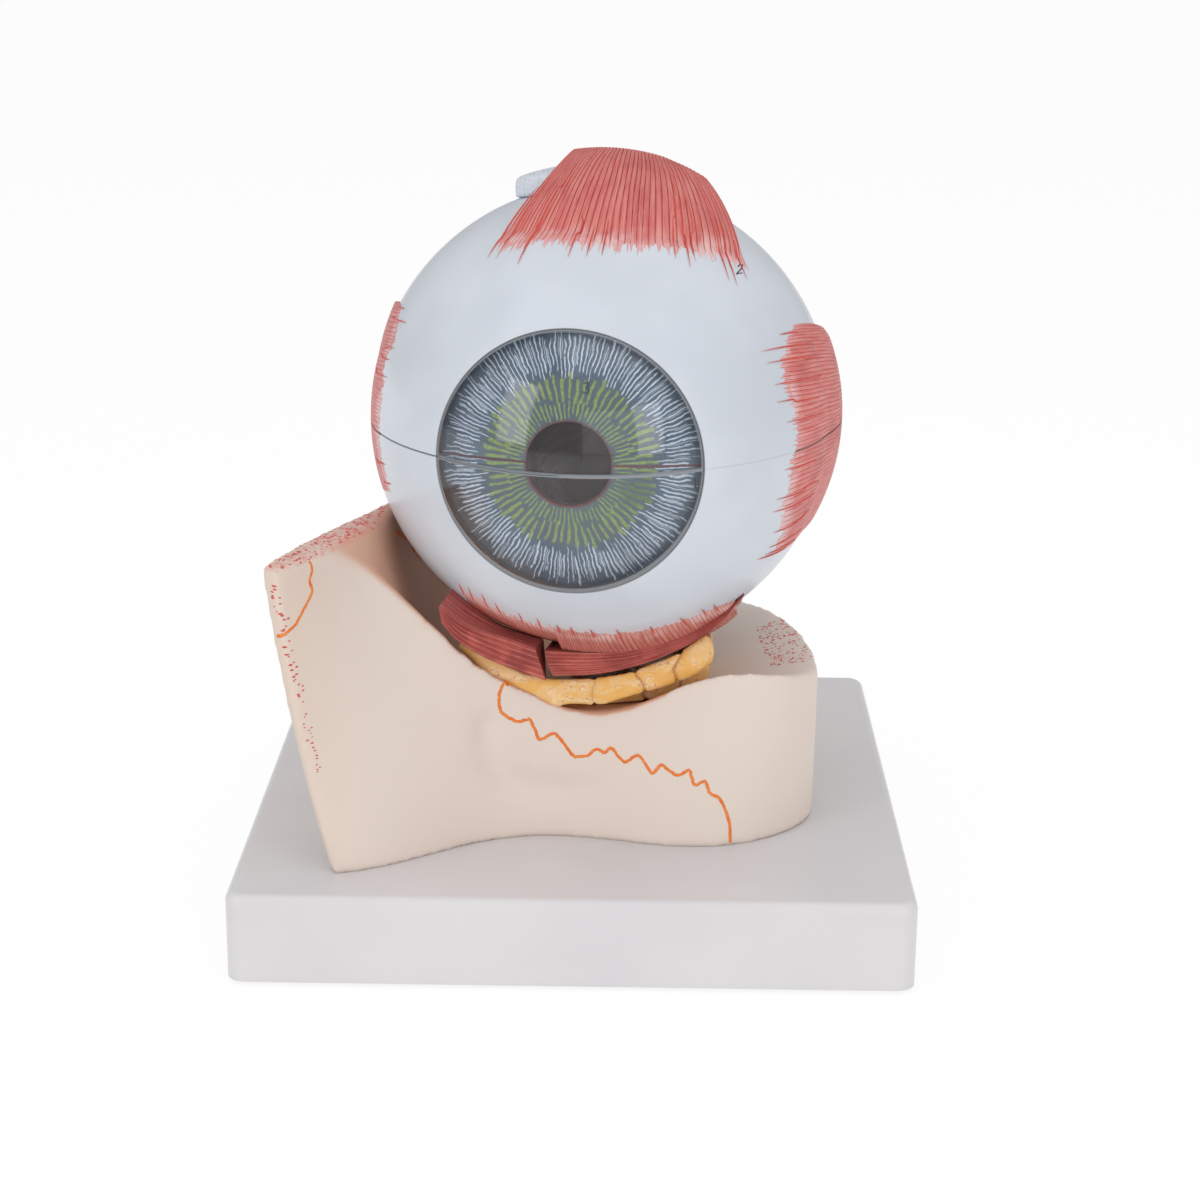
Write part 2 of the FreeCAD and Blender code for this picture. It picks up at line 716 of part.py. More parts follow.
def oblique_end():
    """The oblique muscle's outer end: a band under the globe, in line with the one in the orbit."""
    block = flat_prism("BandPrism", BAND_OUTLINE, "front", read("band_depth"))
    turn = FreeCAD.Rotation(point(0, 0, 1), -read("gaze_turn"))
    block.Placement = FreeCAD.Placement(turn.multVec(point(0, read("band_front"), 0)), turn)
    swell = sphere("BandSwell", "band_swell", "band_swell_out", "0", "-1 * band_swell_down")
    return cut("ObliqueEnd", common("BandBulk", block, swell), sphere("BandBed", "sclera_radius"))


def muscles():
    up = sphere("SuperiorSwell", "superior_swell", "0", "superior_swell_back", "superior_swell_up")
    superior = muscle("SuperiorRectus", SUPERIOR_OUTLINE, "top", up)
    in_eye("superior_rectus", superior)
    down = sphere("InferiorSwell", "inferior_swell", "0", "inferior_swell_back", "-1 * inferior_swell_down")
    inferior = muscle("InferiorStump", INFERIOR_OUTLINE, "bottom", down)
    level = common("InferiorLevel", inferior, sphere("InferiorLimit", "inferior_limit"))
    clear = cut("InferiorBesideBand", level, oblique_end())
    in_eye("inferior_rectus", cut("InferiorRectus", clear, peg_bore("InferiorPegHole")))
    in_eye("inferior_oblique_end", oblique_end())
    out = sphere("LateralSwell", "lateral_swell", "lateral_swell_out", "lateral_swell_back")
    halves("lateral_rectus", muscle("LateralRectus", LATERAL_OUTLINE, "temple", out))
    inwards = sphere("MedialSwell", "medial_swell", "-1 * medial_swell_out", "medial_swell_back", "medial_swell_up")
    halves("medial_rectus", muscle("MedialRectus", MEDIAL_OUTLINE, "nose", inwards))
    tendon = muscle("TendonStub", TENDON_OUTLINE, "top", sphere("TendonSwell", "tendon_radius"))
    room = flat_prism("TendonRoom", SUPERIOR_OUTLINE, "top", 100.0)
    in_eye("superior_oblique", cut("SuperiorOblique", tendon, room))


def optic_nerve():
    nerve = cut("NerveStub", nerve_cone("NerveCone"), sphere("NerveInside", "sclera_radius - sclera_wall"))
    halves("optic_nerve", nerve)


# checks and files

def check_document():
    doc.recompute()
    for thing in doc.Objects:
        for fault in ("Invalid", "Error"):
            if fault in thing.State:
                raise RuntimeError(f"{thing.Name} is {fault}")
    for label, thing in pieces.items():
        if thing.Shape.isNull() or not thing.Shape.isValid():
            raise RuntimeError(f"{label} has no valid shape")


def write_pieces():
    os.makedirs("parts", exist_ok=True)
    for label, thing in pieces.items():
        thing.Shape.exportStep(f"parts/{label}.step")
        box = thing.Shape.BoundBox
        print(f"{label:24s} {len(thing.Shape.Solids)} solid(s) {thing.Shape.Volume / 1000:8.2f} cm3"
              f"  x {box.XMin:7.1f} {box.XMax:7.1f}  y {box.YMin:7.1f} {box.YMax:7.1f}  z {box.ZMin:7.1f} {box.ZMax:7.1f}")


base_tray()
rubber_feet()
orbit_screws()
doc.recompute()
orbital_bone()
globe_peg()
doc.recompute()
soft_parts()
sclera()
sclera_pins()
cornea()
choroid()
iris()
ciliary_body()
lens()
vitreous_body()
muscles()
optic_nerve()
check_document()
write_pieces()
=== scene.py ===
import math
import random

import bmesh
import bpy
from mathutils import Matrix, Vector, noise
from mathutils.bvhtree import BVHTree


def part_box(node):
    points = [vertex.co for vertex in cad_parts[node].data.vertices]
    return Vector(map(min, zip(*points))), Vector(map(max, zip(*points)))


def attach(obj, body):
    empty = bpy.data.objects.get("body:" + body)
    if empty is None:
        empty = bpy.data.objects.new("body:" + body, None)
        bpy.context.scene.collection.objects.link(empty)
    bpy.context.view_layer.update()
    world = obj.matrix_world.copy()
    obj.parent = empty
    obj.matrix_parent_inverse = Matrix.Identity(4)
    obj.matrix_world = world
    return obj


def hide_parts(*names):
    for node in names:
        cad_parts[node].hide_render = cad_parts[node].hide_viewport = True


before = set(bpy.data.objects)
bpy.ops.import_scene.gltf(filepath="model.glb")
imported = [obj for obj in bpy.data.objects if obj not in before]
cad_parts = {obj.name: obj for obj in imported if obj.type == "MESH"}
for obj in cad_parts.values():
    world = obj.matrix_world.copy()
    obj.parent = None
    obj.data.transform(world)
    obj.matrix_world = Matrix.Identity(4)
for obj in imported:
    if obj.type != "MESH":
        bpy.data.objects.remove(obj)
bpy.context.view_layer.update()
mm = 0.001
weld = 1e-6

# where the eye sits; its sizes are in mm

eye = {
    "scleraRadius": 62.5,
    "scleraWall": 3.0,
    "choroidRadius": 59.2,
    "choroidWall": 2.5,
    "partingGap": 0.15,
    "limbusRadius": 34.1,
    "corneaRadius": 49.5,
    "corneaWall": 2.0,
    "corneaAhead": 16.4,
    "irisRadius": 88.0,
    "irisApex": 53.7,
    "irisWall": 2.0,
    "pupilRadius": 10.7,
    "gazeTurn": math.radians(-8.3),
}


def findEyeCentre():
    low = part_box("lower_sclera")[0]
    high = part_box("upper_sclera")[1]
    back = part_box("upper_choroid")[1].y
    across = high.x - eye["scleraRadius"] * mm
    return Vector((across, back - eye["choroidRadius"] * mm, (low.z + high.z) / 2))


eyeCentre = findEyeCentre()
gazeRotation = Matrix.Rotation(eye["gazeTurn"], 3, "Z")
print("eye centre", [round(c / mm, 2) for c in eyeCentre])


def eyeToRow(x, y, z):
    # the eye frame has x to the temple, -y along the gaze and z up
    return eyeCentre + gazeRotation @ (Vector((x, y, z)) * mm)


# nodes

class Value:
    # a socket that takes part in plain arithmetic
    def __init__(self, web, socket):
        self.web = web
        self.socket = socket

    def apply(self, operation, *others):
        return self.web.add("ShaderNodeMath", {"operation": operation}, [self, *others])

    def __add__(self, other):
        return self.apply("ADD", other)

    def __sub__(self, other):
        return self.apply("SUBTRACT", other)

    def __rsub__(self, other):
        return self.web.add("ShaderNodeMath", {"operation": "SUBTRACT"}, [other, self])

    def __mul__(self, other):
        return self.apply("MULTIPLY", other)

    def __truediv__(self, other):
        return self.apply("DIVIDE", other)

    def __pow__(self, other):
        return self.apply("POWER", other)

    def __abs__(self):
        return self.apply("ABSOLUTE")

    __radd__ = __add__
    __rmul__ = __mul__

    def step(self, low, high):
        # 0 at low and 1 at high, smooth between
        ends = {"Value": self, "From Min": low, "From Max": high, "To Min": 0.0, "To Max": 1.0}
        return self.web.add("ShaderNodeMapRange", {"interpolation_type": "SMOOTHSTEP"}, ends)


class Web:
    # a tree of nodes, filled through one method
    def __init__(self, tree):
        self.nodes = tree.nodes
        self.links = tree.links
        self.nodes.clear()

    def add(self, kind, settings=None, values=None, output=0):
        node = self.nodes.new(kind)
        for name, setting in (settings or {}).items():
            setattr(node, name, setting)
        pairs = values.items() if isinstance(values, dict) else enumerate(values or [])
        for name, value in pairs:
            if isinstance(value, Value):
                self.links.new(value.socket, node.inputs[name])
            else:
                node.inputs[name].default_value = value
        return Value(self, node.outputs[output]) if len(node.outputs) else None

    def others(self, value):
        # all the outputs of the node that a value comes from
        return [Value(self, socket) for socket in value.socket.node.outputs]


class Paint(Web):
    # one material
    def __init__(self, name):
        self.material = bpy.data.materials.new(name)
        self.material.use_nodes = True
        super().__init__(self.material.node_tree)

    def here(self):
        return self.add("ShaderNodeTexCoord", output="Object")

    def inEye(self):
        # the point in mm in the eye frame
        places = {"Location": eyeCentre, "Rotation": (0, 0, eye["gazeTurn"]), "Scale": (mm, mm, mm)}
        places["Vector"] = self.here()
        return self.add("ShaderNodeMapping", {"vector_type": "TEXTURE"}, places)

    def inMm(self):
        return self.stretch(self.here(), (1000, 1000, 1000))

    def split(self, vector):
        return self.others(self.add("ShaderNodeSeparateXYZ", {}, {"Vector": vector}))

    def join(self, x, y, z):
        return self.add("ShaderNodeCombineXYZ", {}, {"X": x, "Y": y, "Z": z})

    def stretch(self, vector, scale):
        return self.add("ShaderNodeMapping", {}, {"Vector": vector, "Scale": scale})

    def cloud(self, vector, scale, detail):
        sizes = {"Vector": vector, "Scale": scale, "Detail": detail, "Roughness": 0.55}
        return self.add("ShaderNodeTexNoise", {}, sizes, "Fac")

    def cells(self, vector, scale, jitter):
        sizes = {"Vector": vector, "Scale": scale, "Randomness": jitter}
        return self.add("ShaderNodeTexVoronoi", {}, sizes, "Distance")

    def chance(self, value):
        # a fixed random number for each whole number
        return self.add("ShaderNodeTexWhiteNoise", {"noise_dimensions": "1D"}, {"W": value}, "Value")

    def blend(self, factor, first, second):
        first = first if isinstance(first, Value) else (*first, 1)
        second = second if isinstance(second, Value) else (*second, 1)
        return self.add("ShaderNodeMix", {"data_type": "RGBA"}, {0: factor, 6: first, 7: second}, 2)

    def patchy(self, cloud, first, second):
        return self.blend(cloud.step(0.35, 0.65), first, second)

    def marked(self, name):
        # a value that the mesh carries at each point
        return self.add("ShaderNodeAttribute", {"attribute_name": name}, output="Fac")

    def relief(self, height, depth, strength=1.0):
        return self.add("ShaderNodeBump", {}, {"Height": height, "Distance": depth, "Strength": strength})

    def shader(self, **sockets):
        values = {}
        for name, value in sockets.items():
            words = "".join(" " + c if c.isupper() else c for c in name).strip()
            if isinstance(value, tuple) and len(value) == 3:
                value = (*value, 1)
            values["IOR" if name == "ior" else words] = value
        return self.add("ShaderNodeBsdfPrincipled", {}, values)

    def close(self, shader):
        self.add("ShaderNodeOutputMaterial", {}, {"Surface": shader})
        return self.material

    def finish(self, **sockets):
        return self.close(self.shader(**sockets))


def addObject(name, data):
    thing = bpy.data.objects.new(name, data)
    bpy.context.scene.collection.objects.link(thing)
    return thing


class Rule(Web):
    # one Geometry Nodes tree, with named inputs for its sizes
    def __init__(self, name, sizes):
        self.tree = bpy.data.node_groups.new(name, "GeometryNodeTree")
        super().__init__(self.tree)
        face = self.tree.interface
        face.new_socket("Geometry", in_out="INPUT", socket_type="NodeSocketGeometry")
        self.sockets = {}
        for label, value in sizes.items():
            kind = "NodeSocketInt" if isinstance(value, int) else "NodeSocketFloat"
            socket = face.new_socket(label, in_out="INPUT", socket_type=kind)
            socket.default_value = value
            self.sockets[label] = socket.identifier
        face.new_socket("Geometry", in_out="OUTPUT", socket_type="NodeSocketGeometry")
        self.start = self.add("NodeGroupInput")
        self.given = {socket.name: Value(self, socket) for socket in self.start.socket.node.outputs}

    def close(self, geometry, material):
        real = self.add("GeometryNodeRealizeInstances", {}, {"Geometry": geometry})
        painted = self.add("GeometryNodeSetMaterial", {}, {"Geometry": real, "Material": material})
        self.add("NodeGroupOutput", {}, [painted])

    def grow(self, name, mesh, **sizes):
        # runs the tree on a mesh and keeps the result as a plain piece
        source = addObject(name + "_source", mesh)
        modifier = source.modifiers.new(name, "NODES")
        modifier.node_group = self.tree
        for label, value in sizes.items():
            modifier[self.sockets[label]] = value
        graph = bpy.context.evaluated_depsgraph_get()
        result = bpy.data.meshes.new_from_object(source.evaluated_get(graph))
        source.modifiers.clear()
        bpy.data.objects.remove(source)
        result.name = name
        return addObject(name, result)


def tone(*colour):
    # an 8-bit colour as the shader takes it
    return tuple(((c / 255 + 0.055) / 1.055) ** 2.4 for c in colour)


def mottled(name, first, second, scale, rough, bump, stretch=(1, 1, 1), soft=True, detail=3, **more):
    # two close colours in a cloud that also sets the shine and the relief
    paint = Paint(name)
    grain = paint.cloud(paint.stretch(paint.inMm(), stretch), scale, detail)
    colour = paint.patchy(grain, first, second) if soft else paint.blend(grain, first, second)
    reach, least = rough
    bump = paint.relief(grain, *bump)
    return paint.finish(BaseColor=colour, Roughness=grain * reach + least, Normal=bump, **more)


def clamp(value):
    return max(0, min(1, value))


def ramp(value, none, full):
    # 0 at the first level and 1 at the second, straight between
    return clamp((value - none) / (full - none))


def signOf(side):
    return 1 if side == "upper" else -1


# meshes

def newPiece(name, vertices, faces, material, sharp=35, uv=None):
    mesh = bpy.data.meshes.new(name)
    mesh.from_pydata(vertices, [], faces)
    if uv:
        layer = mesh.uv_layers.new(name="fibre")
        for loop in mesh.loops:
            layer.data[loop.index].uv = uv[loop.vertex_index]
    shape = bmesh.new()
    shape.from_mesh(mesh)
    bmesh.ops.remove_doubles(shape, verts=shape.verts, dist=weld)
    bmesh.ops.dissolve_degenerate(shape, edges=shape.edges, dist=1e-7)
    bmesh.ops.recalc_face_normals(shape, faces=shape.faces)
    shape.to_mesh(mesh)
    shape.free()
    mesh.shade_smooth()
    mesh.set_sharp_from_angle(angle=math.radians(sharp))
    mesh.materials.append(material)
    return addObject(name, mesh)


def install(piece, body, slotName, *nodes):
    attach(piece, body)
    if nodes:
        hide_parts(*nodes)
    return piece


def repaint(nodeName, material):
    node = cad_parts[nodeName]
    node.data.materials.clear()
    node.data.materials.append(material)


def castCopy(nodeName, name, voxel, rounds):
    # a CAD solid as one even skin with softened edges
    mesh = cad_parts[nodeName].data.copy()
    shape = bmesh.new()
    shape.from_mesh(mesh)
    bmesh.ops.remove_doubles(shape, verts=shape.verts, dist=weld)
    shape.to_mesh(mesh)
    shape.free()
    piece = addObject(name, mesh)
    remesh = piece.modifiers.new("even", "REMESH")
    remesh.mode = "VOXEL"
    remesh.voxel_size = voxel * mm
    ease = piece.modifiers.new("ease", "SMOOTH")
    ease.factor = 0.5
    ease.iterations = rounds
    graph = bpy.context.evaluated_depsgraph_get()
    result = bpy.data.meshes.new_from_object(piece.evaluated_get(graph))
    piece.modifiers.clear()
    piece.data = result
    result.name = name
    result.materials.clear()
    result.shade_smooth()
    return piece


def treeOf(piece):
    mesh = piece.data
    return BVHTree.FromPolygons([v.co for v in mesh.vertices], [p.vertices for p in mesh.polygons])


def smoothLine(points, count, skew=1.0):
    # points along a curve that passes through the ones given, closer to its start where skew is above 1
    points = [Vector(p) for p in points]
    points = [2 * points[0] - points[1], *points, 2 * points[-1] - points[-2]]
    spans = len(points) - 3
    result = []
    for step in range(count + 1):
        place = spans * (step / count) ** skew
        index = min(int(place), spans - 1)
        t = place - index
        a, b, c, d = points[index:index + 4]
        bend = 2 * a - 5 * b + 4 * c - d
        twist = 3 * b - a - 3 * c + d
        result.append(0.5 * (2 * b + (c - a) * t + bend * t * t + twist * t ** 3))
    return result


def arc(reach, startAngle, endAngle, count, centre=0.0):
    # (radius, ahead) points round a ball, the angles in degrees from the gaze axis
    points = []
    for step in range(count + 1):
        angle = math.radians(startAngle + (endAngle - startAngle) * step / count)
        points.append((reach * math.sin(angle), centre + reach * math.cos(angle)))
    return points


def rimAngle(radius, reach):
    return math.degrees(math.asin(radius / reach))


def halfShell(name, outer, inner, side, material, bevel=0.25, turns=110):
    # half of a wall turned about the gaze axis, with its edge at the parting plane eased
    low = eye["partingGap"] / 2
    sign = signOf(side)
    count = len(outer)
    vertices = []
    for turn in range(turns + 1):
        for wall in (outer, inner):
            for radius, front in wall:
                if turn in (0, turns):
                    tight = 0.15 if turn == 0 else 1
                    ease = bevel * tight
                    shrink = 1 - ease / math.hypot(radius, front) if wall is outer else 1
                    across = radius * shrink * (1 if turn == 0 else -1)
                    vertices.append(eyeToRow(across, -front * shrink, sign * low * tight))
                else:
                    start = math.asin(min(0.8, (low + bevel) / max(radius, 0.01)))
                    angle = start + (math.pi - 2 * start) * (turn - 1) / (turns - 2)
                    height = max(radius * math.sin(angle), low)
                    vertices.append(eyeToRow(radius * math.cos(angle), -front, sign * height))
    faces = []
    row = 2 * count
    for turn in range(turns):
        for step in range(count - 1):
            for shift in (0, count):
                first = turn * row + step + shift
                faces.append((first, first + 1, first + row + 1, first + row))
        for step in (0, count - 1):
            first = turn * row + step
            faces.append((first, first + row, first + row + count, first + count))
    for turn in (0, turns):
        for step in range(count - 1):
            first = turn * row + step
            faces.append((first, first + 1, first + 1 + count, first + count))
    return newPiece(name, vertices, faces, material)


def turnFaces(turns, row):
    # the faces between each profile and the next, all the way round
    faces = []
    for turn in range(turns):
        for step in range(row - 1):
            first = turn * row + step
            after = (turn + 1) % turns * row + step
            faces.append((first, first + 1, after + 1, after))
    return faces


def wholeTurn(name, profile, material, turns=128):
    # a solid turned about the gaze axis from a profile that starts and ends on it
    vertices = []
    for turn in range(turns):
        angle = 2 * math.pi * turn / turns
        for radius, front in profile:
            vertices.append(eyeToRow(radius * math.cos(angle), -front, radius * math.sin(angle)))
    return newPiece(name, vertices, turnFaces(turns, len(profile)), material)


def cutAtParting(piece, side):
    # keeps the half of a piece on one side of the parting plane and closes it
    sign = signOf(side)
    shape = bmesh.new()
    shape.from_mesh(piece.data)
    everything = shape.verts[:] + shape.edges[:] + shape.faces[:]
    middle = eyeCentre + Vector((0, 0, sign * eye["partingGap"] / 2 * mm))
    plane = {"plane_co": middle, "plane_no": (0, 0, -sign), "clear_outer": True}
    bmesh.ops.bisect_plane(shape, geom=everything, **plane)
    rim = [edge for edge in shape.edges if edge.is_boundary]
    bmesh.ops.holes_fill(shape, edges=rim)
    bmesh.ops.recalc_face_normals(shape, faces=shape.faces)
    shape.to_mesh(piece.data)
    shape.free()
    piece.data.shade_smooth()
    piece.data.set_sharp_from_angle(angle=math.radians(35))


# painted strokes and dots

def makeStrokeRule(material):
    # edges with a girth at each point become fine tubes
    rule = Rule(material.name + "_strokes", {"Sides": 6})
    given = rule.given
    line = rule.add("GeometryNodeMeshToCurve", {}, {"Mesh": given["Geometry"]})
    girth = rule.add("GeometryNodeInputNamedAttribute", {"data_type": "FLOAT"}, {"Name": "girth"})
    ring = rule.add("GeometryNodeCurvePrimitiveCircle", {}, {"Resolution": given["Sides"], "Radius": 1.0})
    parts = {"Curve": line, "Profile Curve": ring, "Scale": girth, "Fill Caps": True}
    tube = rule.add("GeometryNodeCurveToMesh", {}, parts)
    rule.close(rule.add("GeometryNodeSetShadeSmooth", {}, {"Geometry": tube}), material)
    return rule


def strokes(name, lines, material, sides=6):
    # each line is a list of (point, girth), in metres
    points = []
    edges = []
    girths = []
    for line in lines:
        for step, (place, girth) in enumerate(line):
            if step:
                edges.append((len(points) - 1, len(points)))
            points.append(place)
            girths.append(girth)
    mesh = bpy.data.meshes.new(name + "_lines")
    mesh.from_pydata(points, edges, [])
    layer = mesh.attributes.new("girth", "FLOAT", "POINT")
    for index, girth in enumerate(girths):
        layer.data[index].value = girth
    return makeStrokeRule(material).grow(name, mesh, Sides=sides)


def makeDotRule(material):
    # small flat blobs strewn over a patch
    rule = Rule(material.name + "_dots", {"Density": 1.0, "Size": 1.0, "Spread": 0.5, "Seed": 0})
    given = rule.given
    strewn = {"Mesh": given["Geometry"], "Density": given["Density"], "Seed": given["Seed"]}
    spots = rule.add("GeometryNodeDistributePointsOnFaces", {"distribute_method": "RANDOM"}, strewn)
    points, _, lie = rule.others(spots)
    blob = rule.add("GeometryNodeMeshIcoSphere", {}, {"Radius": 1.0, "Subdivisions": 1})
    flat = rule.add("GeometryNodeTransform", {}, {"Geometry": blob, "Scale": (1.0, 0.6, 0.22)})
    turns = {3: math.pi, "Seed": given["Seed"]}
    turn = rule.add("FunctionNodeRandomValue", {"data_type": "FLOAT"}, turns, 1)
    around = {"Rotation": lie, "Rotate By": rule.add("ShaderNodeCombineXYZ", {}, {"Z": turn})}
    lie = rule.add("FunctionNodeRotateRotation", {"rotation_space": "LOCAL"}, around)
    small = given["Size"] * (1 - given["Spread"])
    large = given["Size"] * (1 + given["Spread"])
    sizes = {2: small, 3: large, "Seed": given["Seed"] + 7}
    size = rule.add("FunctionNodeRandomValue", {"data_type": "FLOAT"}, sizes, 1)
    put = {"Points": points, "Instance": flat, "Rotation": lie, "Scale": size}
    rule.close(rule.add("GeometryNodeInstanceOnPoints", {}, put), material)
    return rule


# camera, floor and light

camera = {
    "place": (0.0139, -0.6835, 0.2943),
    "turn": -0.68,
    "down": 17.54,
    "roll": 0.51,
    "lens": 75.34,
}


def addCamera():
    turn = math.radians(camera["turn"])
    down = math.radians(camera["down"])
    roll = math.radians(camera["roll"])
    forward = Vector((math.sin(turn) * math.cos(down), math.cos(turn) * math.cos(down), -math.sin(down)))
    level = Vector((math.cos(turn), -math.sin(turn), 0))
    upward = level.cross(forward)
    right = level * math.cos(roll) + upward * math.sin(roll)
    upward = right.cross(forward)
    data = bpy.data.cameras.new("camera")
    data.lens = camera["lens"]
    data.sensor_width = 36
    data.clip_start = 0.01
    thing = addObject("camera", data)
    matrix = Matrix((right, upward, -forward)).transposed().to_4x4()
    matrix.translation = Vector(camera["place"])
    thing.matrix_world = matrix
    bpy.context.scene.camera = thing


addCamera()

studio = {
    "worldStrength": 0.68,
    "shineStrength": 0.42,
    "aim": (0, -0.02, 0.12),
    "key": ((-0.86, -0.79, 0.52), (0.42, 0.74), 2.0),
    "fill": ((0.68, -0.96, 0.38), (0.34, 0.6), 1.3),
    "top": ((0.1, -0.3, 1.3), (1.2, 1.2), 2.4),
    "front": ((0.3, -1.5, 0.45), (0.9, 0.7), 2.2),
}


def addLamp(name):
    place, size, power = studio[name]
    data = bpy.data.lights.new(name, "AREA")
    data.shape = "RECTANGLE"
    data.size, data.size_y = size
    data.energy = power
    lamp = addObject(name, data)
    lamp.location = place
    lamp.rotation_euler = (Vector(studio["aim"]) - Vector(place)).to_track_quat("-Z", "Y").to_euler()
    # the front lamp leaves no highlight
    lamp.visible_glossy = name != "front"


def addStudio():
    for name in ("key", "fill", "top", "front"):
        addLamp(name)
    world = bpy.data.worlds.new("world")
    bpy.context.scene.world = world
    bpy.context.scene.view_settings.view_transform = "Standard"
    world.use_nodes = True
    web = Web(world.node_tree)
    path = web.others(web.add("ShaderNodeLightPath"))
    seen = path[0].apply("MAXIMUM", path[6])
    strength = seen * (1 - studio["worldStrength"]) + studio["worldStrength"]
    strength = strength - path[3] * (studio["worldStrength"] - studio["shineStrength"])
    sky = web.add("ShaderNodeBackground", {}, {"Color": (1, 1, 1, 1), "Strength": strength})
    web.add("ShaderNodeOutputWorld", {}, {"Surface": sky})


addStudio()


def addFloor():
    paint = Paint("floor")
    path = paint.others(paint.add("ShaderNodeLightPath"))
    seen = path[0].apply("MAXIMUM", path[3].apply("MAXIMUM", path[6]))
    white = paint.add("ShaderNodeEmission", {}, {"Color": (1, 1, 1, 1), "Strength": 1.06})
    plain = paint.add("ShaderNodeBsdfDiffuse", {}, {"Color": (0.9, 0.9, 0.9, 1)})
    lit = paint.add("ShaderNodeMixShader", {}, {0: seen * 0.8, 1: plain, 2: white})
    paint.close(lit)
    side = 4.0
    corners = [(-side, -side, 0), (side, -side, 0), (side, side, 0), (-side, side, 0)]
    newPiece("floor", corners, [(0, 1, 2, 3)], paint.material)


addFloor()
print("studio ready")

# base

base = {
    "plastic": tone(224, 221, 222),
    "rough": 0.32,
    "rubber": tone(48, 48, 50),
    "rubberWorn": tone(62, 62, 64),
    "steel": tone(176, 178, 182),
    "steelDark": tone(152, 154, 158),
    "peg": tone(214, 200, 186),
    "pegLight": tone(226, 214, 202),
}


def whitePlastic():
    paint = Paint("base_plastic")
    place = paint.inMm()
    grain = paint.cloud(place, 2.2, 4)
    drift = paint.cloud(place, 0.02, 2)
    colour = paint.patchy(drift, base["plastic"], tone(219, 217, 219))
    bump = paint.relief(grain, 0.00003, 0.35)
    rough = grain * 0.1 + base["rough"]
    return paint.finish(BaseColor=colour, Roughness=rough, Normal=bump, CoatWeight=0.15, CoatRoughness=0.12)


steel = mottled("fixing_steel", base["steel"], base["steelDark"], 1.5, (0.15, 0.24), (0.00002, 0.4),
                (1, 1, 14), False, Metallic=1.0)
repaint("base_tray", whitePlastic())
repaint("rubber_feet", mottled("foot_rubber", base["rubber"], base["rubberWorn"], 3.0, (0.15, 0.7),
                               (0.00008, 0.6), soft=False, detail=4))
repaint("orbit_screws", steel)
repaint("sclera_pins", steel)
repaint("globe_peg", mottled("peg_plastic", base["peg"], base["pegLight"], 1.0, (0.1, 0.4),
                             (0.00003, 0.5), (0.3, 0.3, 6), False))
print("base ready")

# bone of the orbit

bone = {
    "voxel": 0.9,
    "softening": 28,
    "skin": tone(229, 215, 205),
    "warm": tone(228, 208, 192),
    # painted shade with a warm tint, on the orbit's walls that face the globe
    "hollow": tone(222, 176, 152),
    "marrow": tone(206, 62, 62),
    "marrowPale": tone(222, 110, 102),
    "marrowSoft": tone(222, 138, 128),
    "suture": tone(233, 116, 34),
    "sutureLight": tone(240, 140, 62),
    "foot": 25.0,
    "top": 109.5,
    "dent": [(-23.3, 57), (-23.5, 52), (-22, 47), (-18.5, 42.5), (-11, 39.2), (-3, 38.2), (6, 39.6)],
    "dentDepth": 1.5,
    "dentWidth": 4.2,
    "dentFade": (12, -2),
    # how the painted shade in the hollow fades: away from the globe, towards the front and towards the
    # cheek
    "hollowReach": (100, 84),
    "hollowFront": (-60, -48),
    "hollowShelf": (29, 24),
}


def paintBone():
    paint = Paint("bone_plastic")
    place = paint.inMm()
    x = paint.split(place)[0]
    drift = paint.cloud(place, 0.03, 2)
    grain = paint.cloud(place, 1.4, 4)
    side = (x * -1).step(48, 78) * 0.7 + drift * 0.3
    colour = paint.blend(side, bone["skin"], bone["warm"])
    # painted shade with a warm tint, where the hollow mark is set
    hollow = paint.marked("hollow")
    shadeAndTint = (hollow + (drift - 0.5) * 0.25).step(0.05, 0.8)
    colour = paint.blend(shadeAndTint, colour, bone["hollow"])
    marrow = paint.marked("marrow")
    pores = paint.cloud(place, 0.5, 3)
    colour = paint.blend(marrow * pores.step(0.3, 0.7) * 0.7, colour, bone["marrowSoft"])
    bump = paint.relief(grain, 0.00005, 0.4)
    return paint.finish(BaseColor=colour, Roughness=grain * 0.12 + 0.4, Normal=bump)


def lineDistance(x, z, line):
    nearest = 1e9
    for (ax, az), (bx, bz) in zip(line, line[1:]):
        dx, dz = bx - ax, bz - az
        share = clamp(((x - ax) * dx + (z - az) * dz) / (dx * dx + dz * dz))
        nearest = min(nearest, math.hypot(x - ax - share * dx, z - az - share * dz))
    return nearest


def addBone():
    piece = castCopy("orbital_bone", "orbit_bone_casting", bone["voxel"], bone["softening"])
    mesh = piece.data
    normals = [normal.vector.copy() for normal in mesh.vertex_normals]
    hollow = mesh.attributes.new("hollow", "FLOAT", "POINT")
    marrow = mesh.attributes.new("marrow", "FLOAT", "POINT")
    for vertex, normal in zip(mesh.vertices, normals):
        place = vertex.co / mm
        if normal.y < -0.4 and place.y < -35:
            distance = lineDistance(place.x, place.z, bone["dent"])
            fade = ramp(place.x, *bone["dentFade"])
            press = fade * math.exp(-(distance / bone["dentWidth"]) ** 2)
            vertex.co -= normal * bone["dentDepth"] * press * mm
        if place.z < bone["foot"] + 0.6:
            vertex.co.z = (bone["foot"] + 0.02) * mm
        # the hollow mark places painted shade with a warm tint on walls that face the globe, most where
        # they are nearest to it
        inward = (eyeCentre - vertex.co).normalized().dot(normal)
        reach = (eyeCentre - vertex.co).length / mm
        deep = ramp(reach, *bone["hollowReach"])
        wall = ramp(place.y, *bone["hollowFront"])
        shelf = ramp(place.x, *bone["hollowShelf"])
        hollow.data[vertex.index].value = ramp(inward, 0.2, 0.7) * deep * wall * shelf
        strip = place.z > bone["top"] - 1.2 and normal.z > 0.6
        marrow.data[vertex.index].value = 0.7 if strip else 0.0
    mesh.materials.append(paintBone())
    return install(piece, "root", "bone", "orbital_bone")


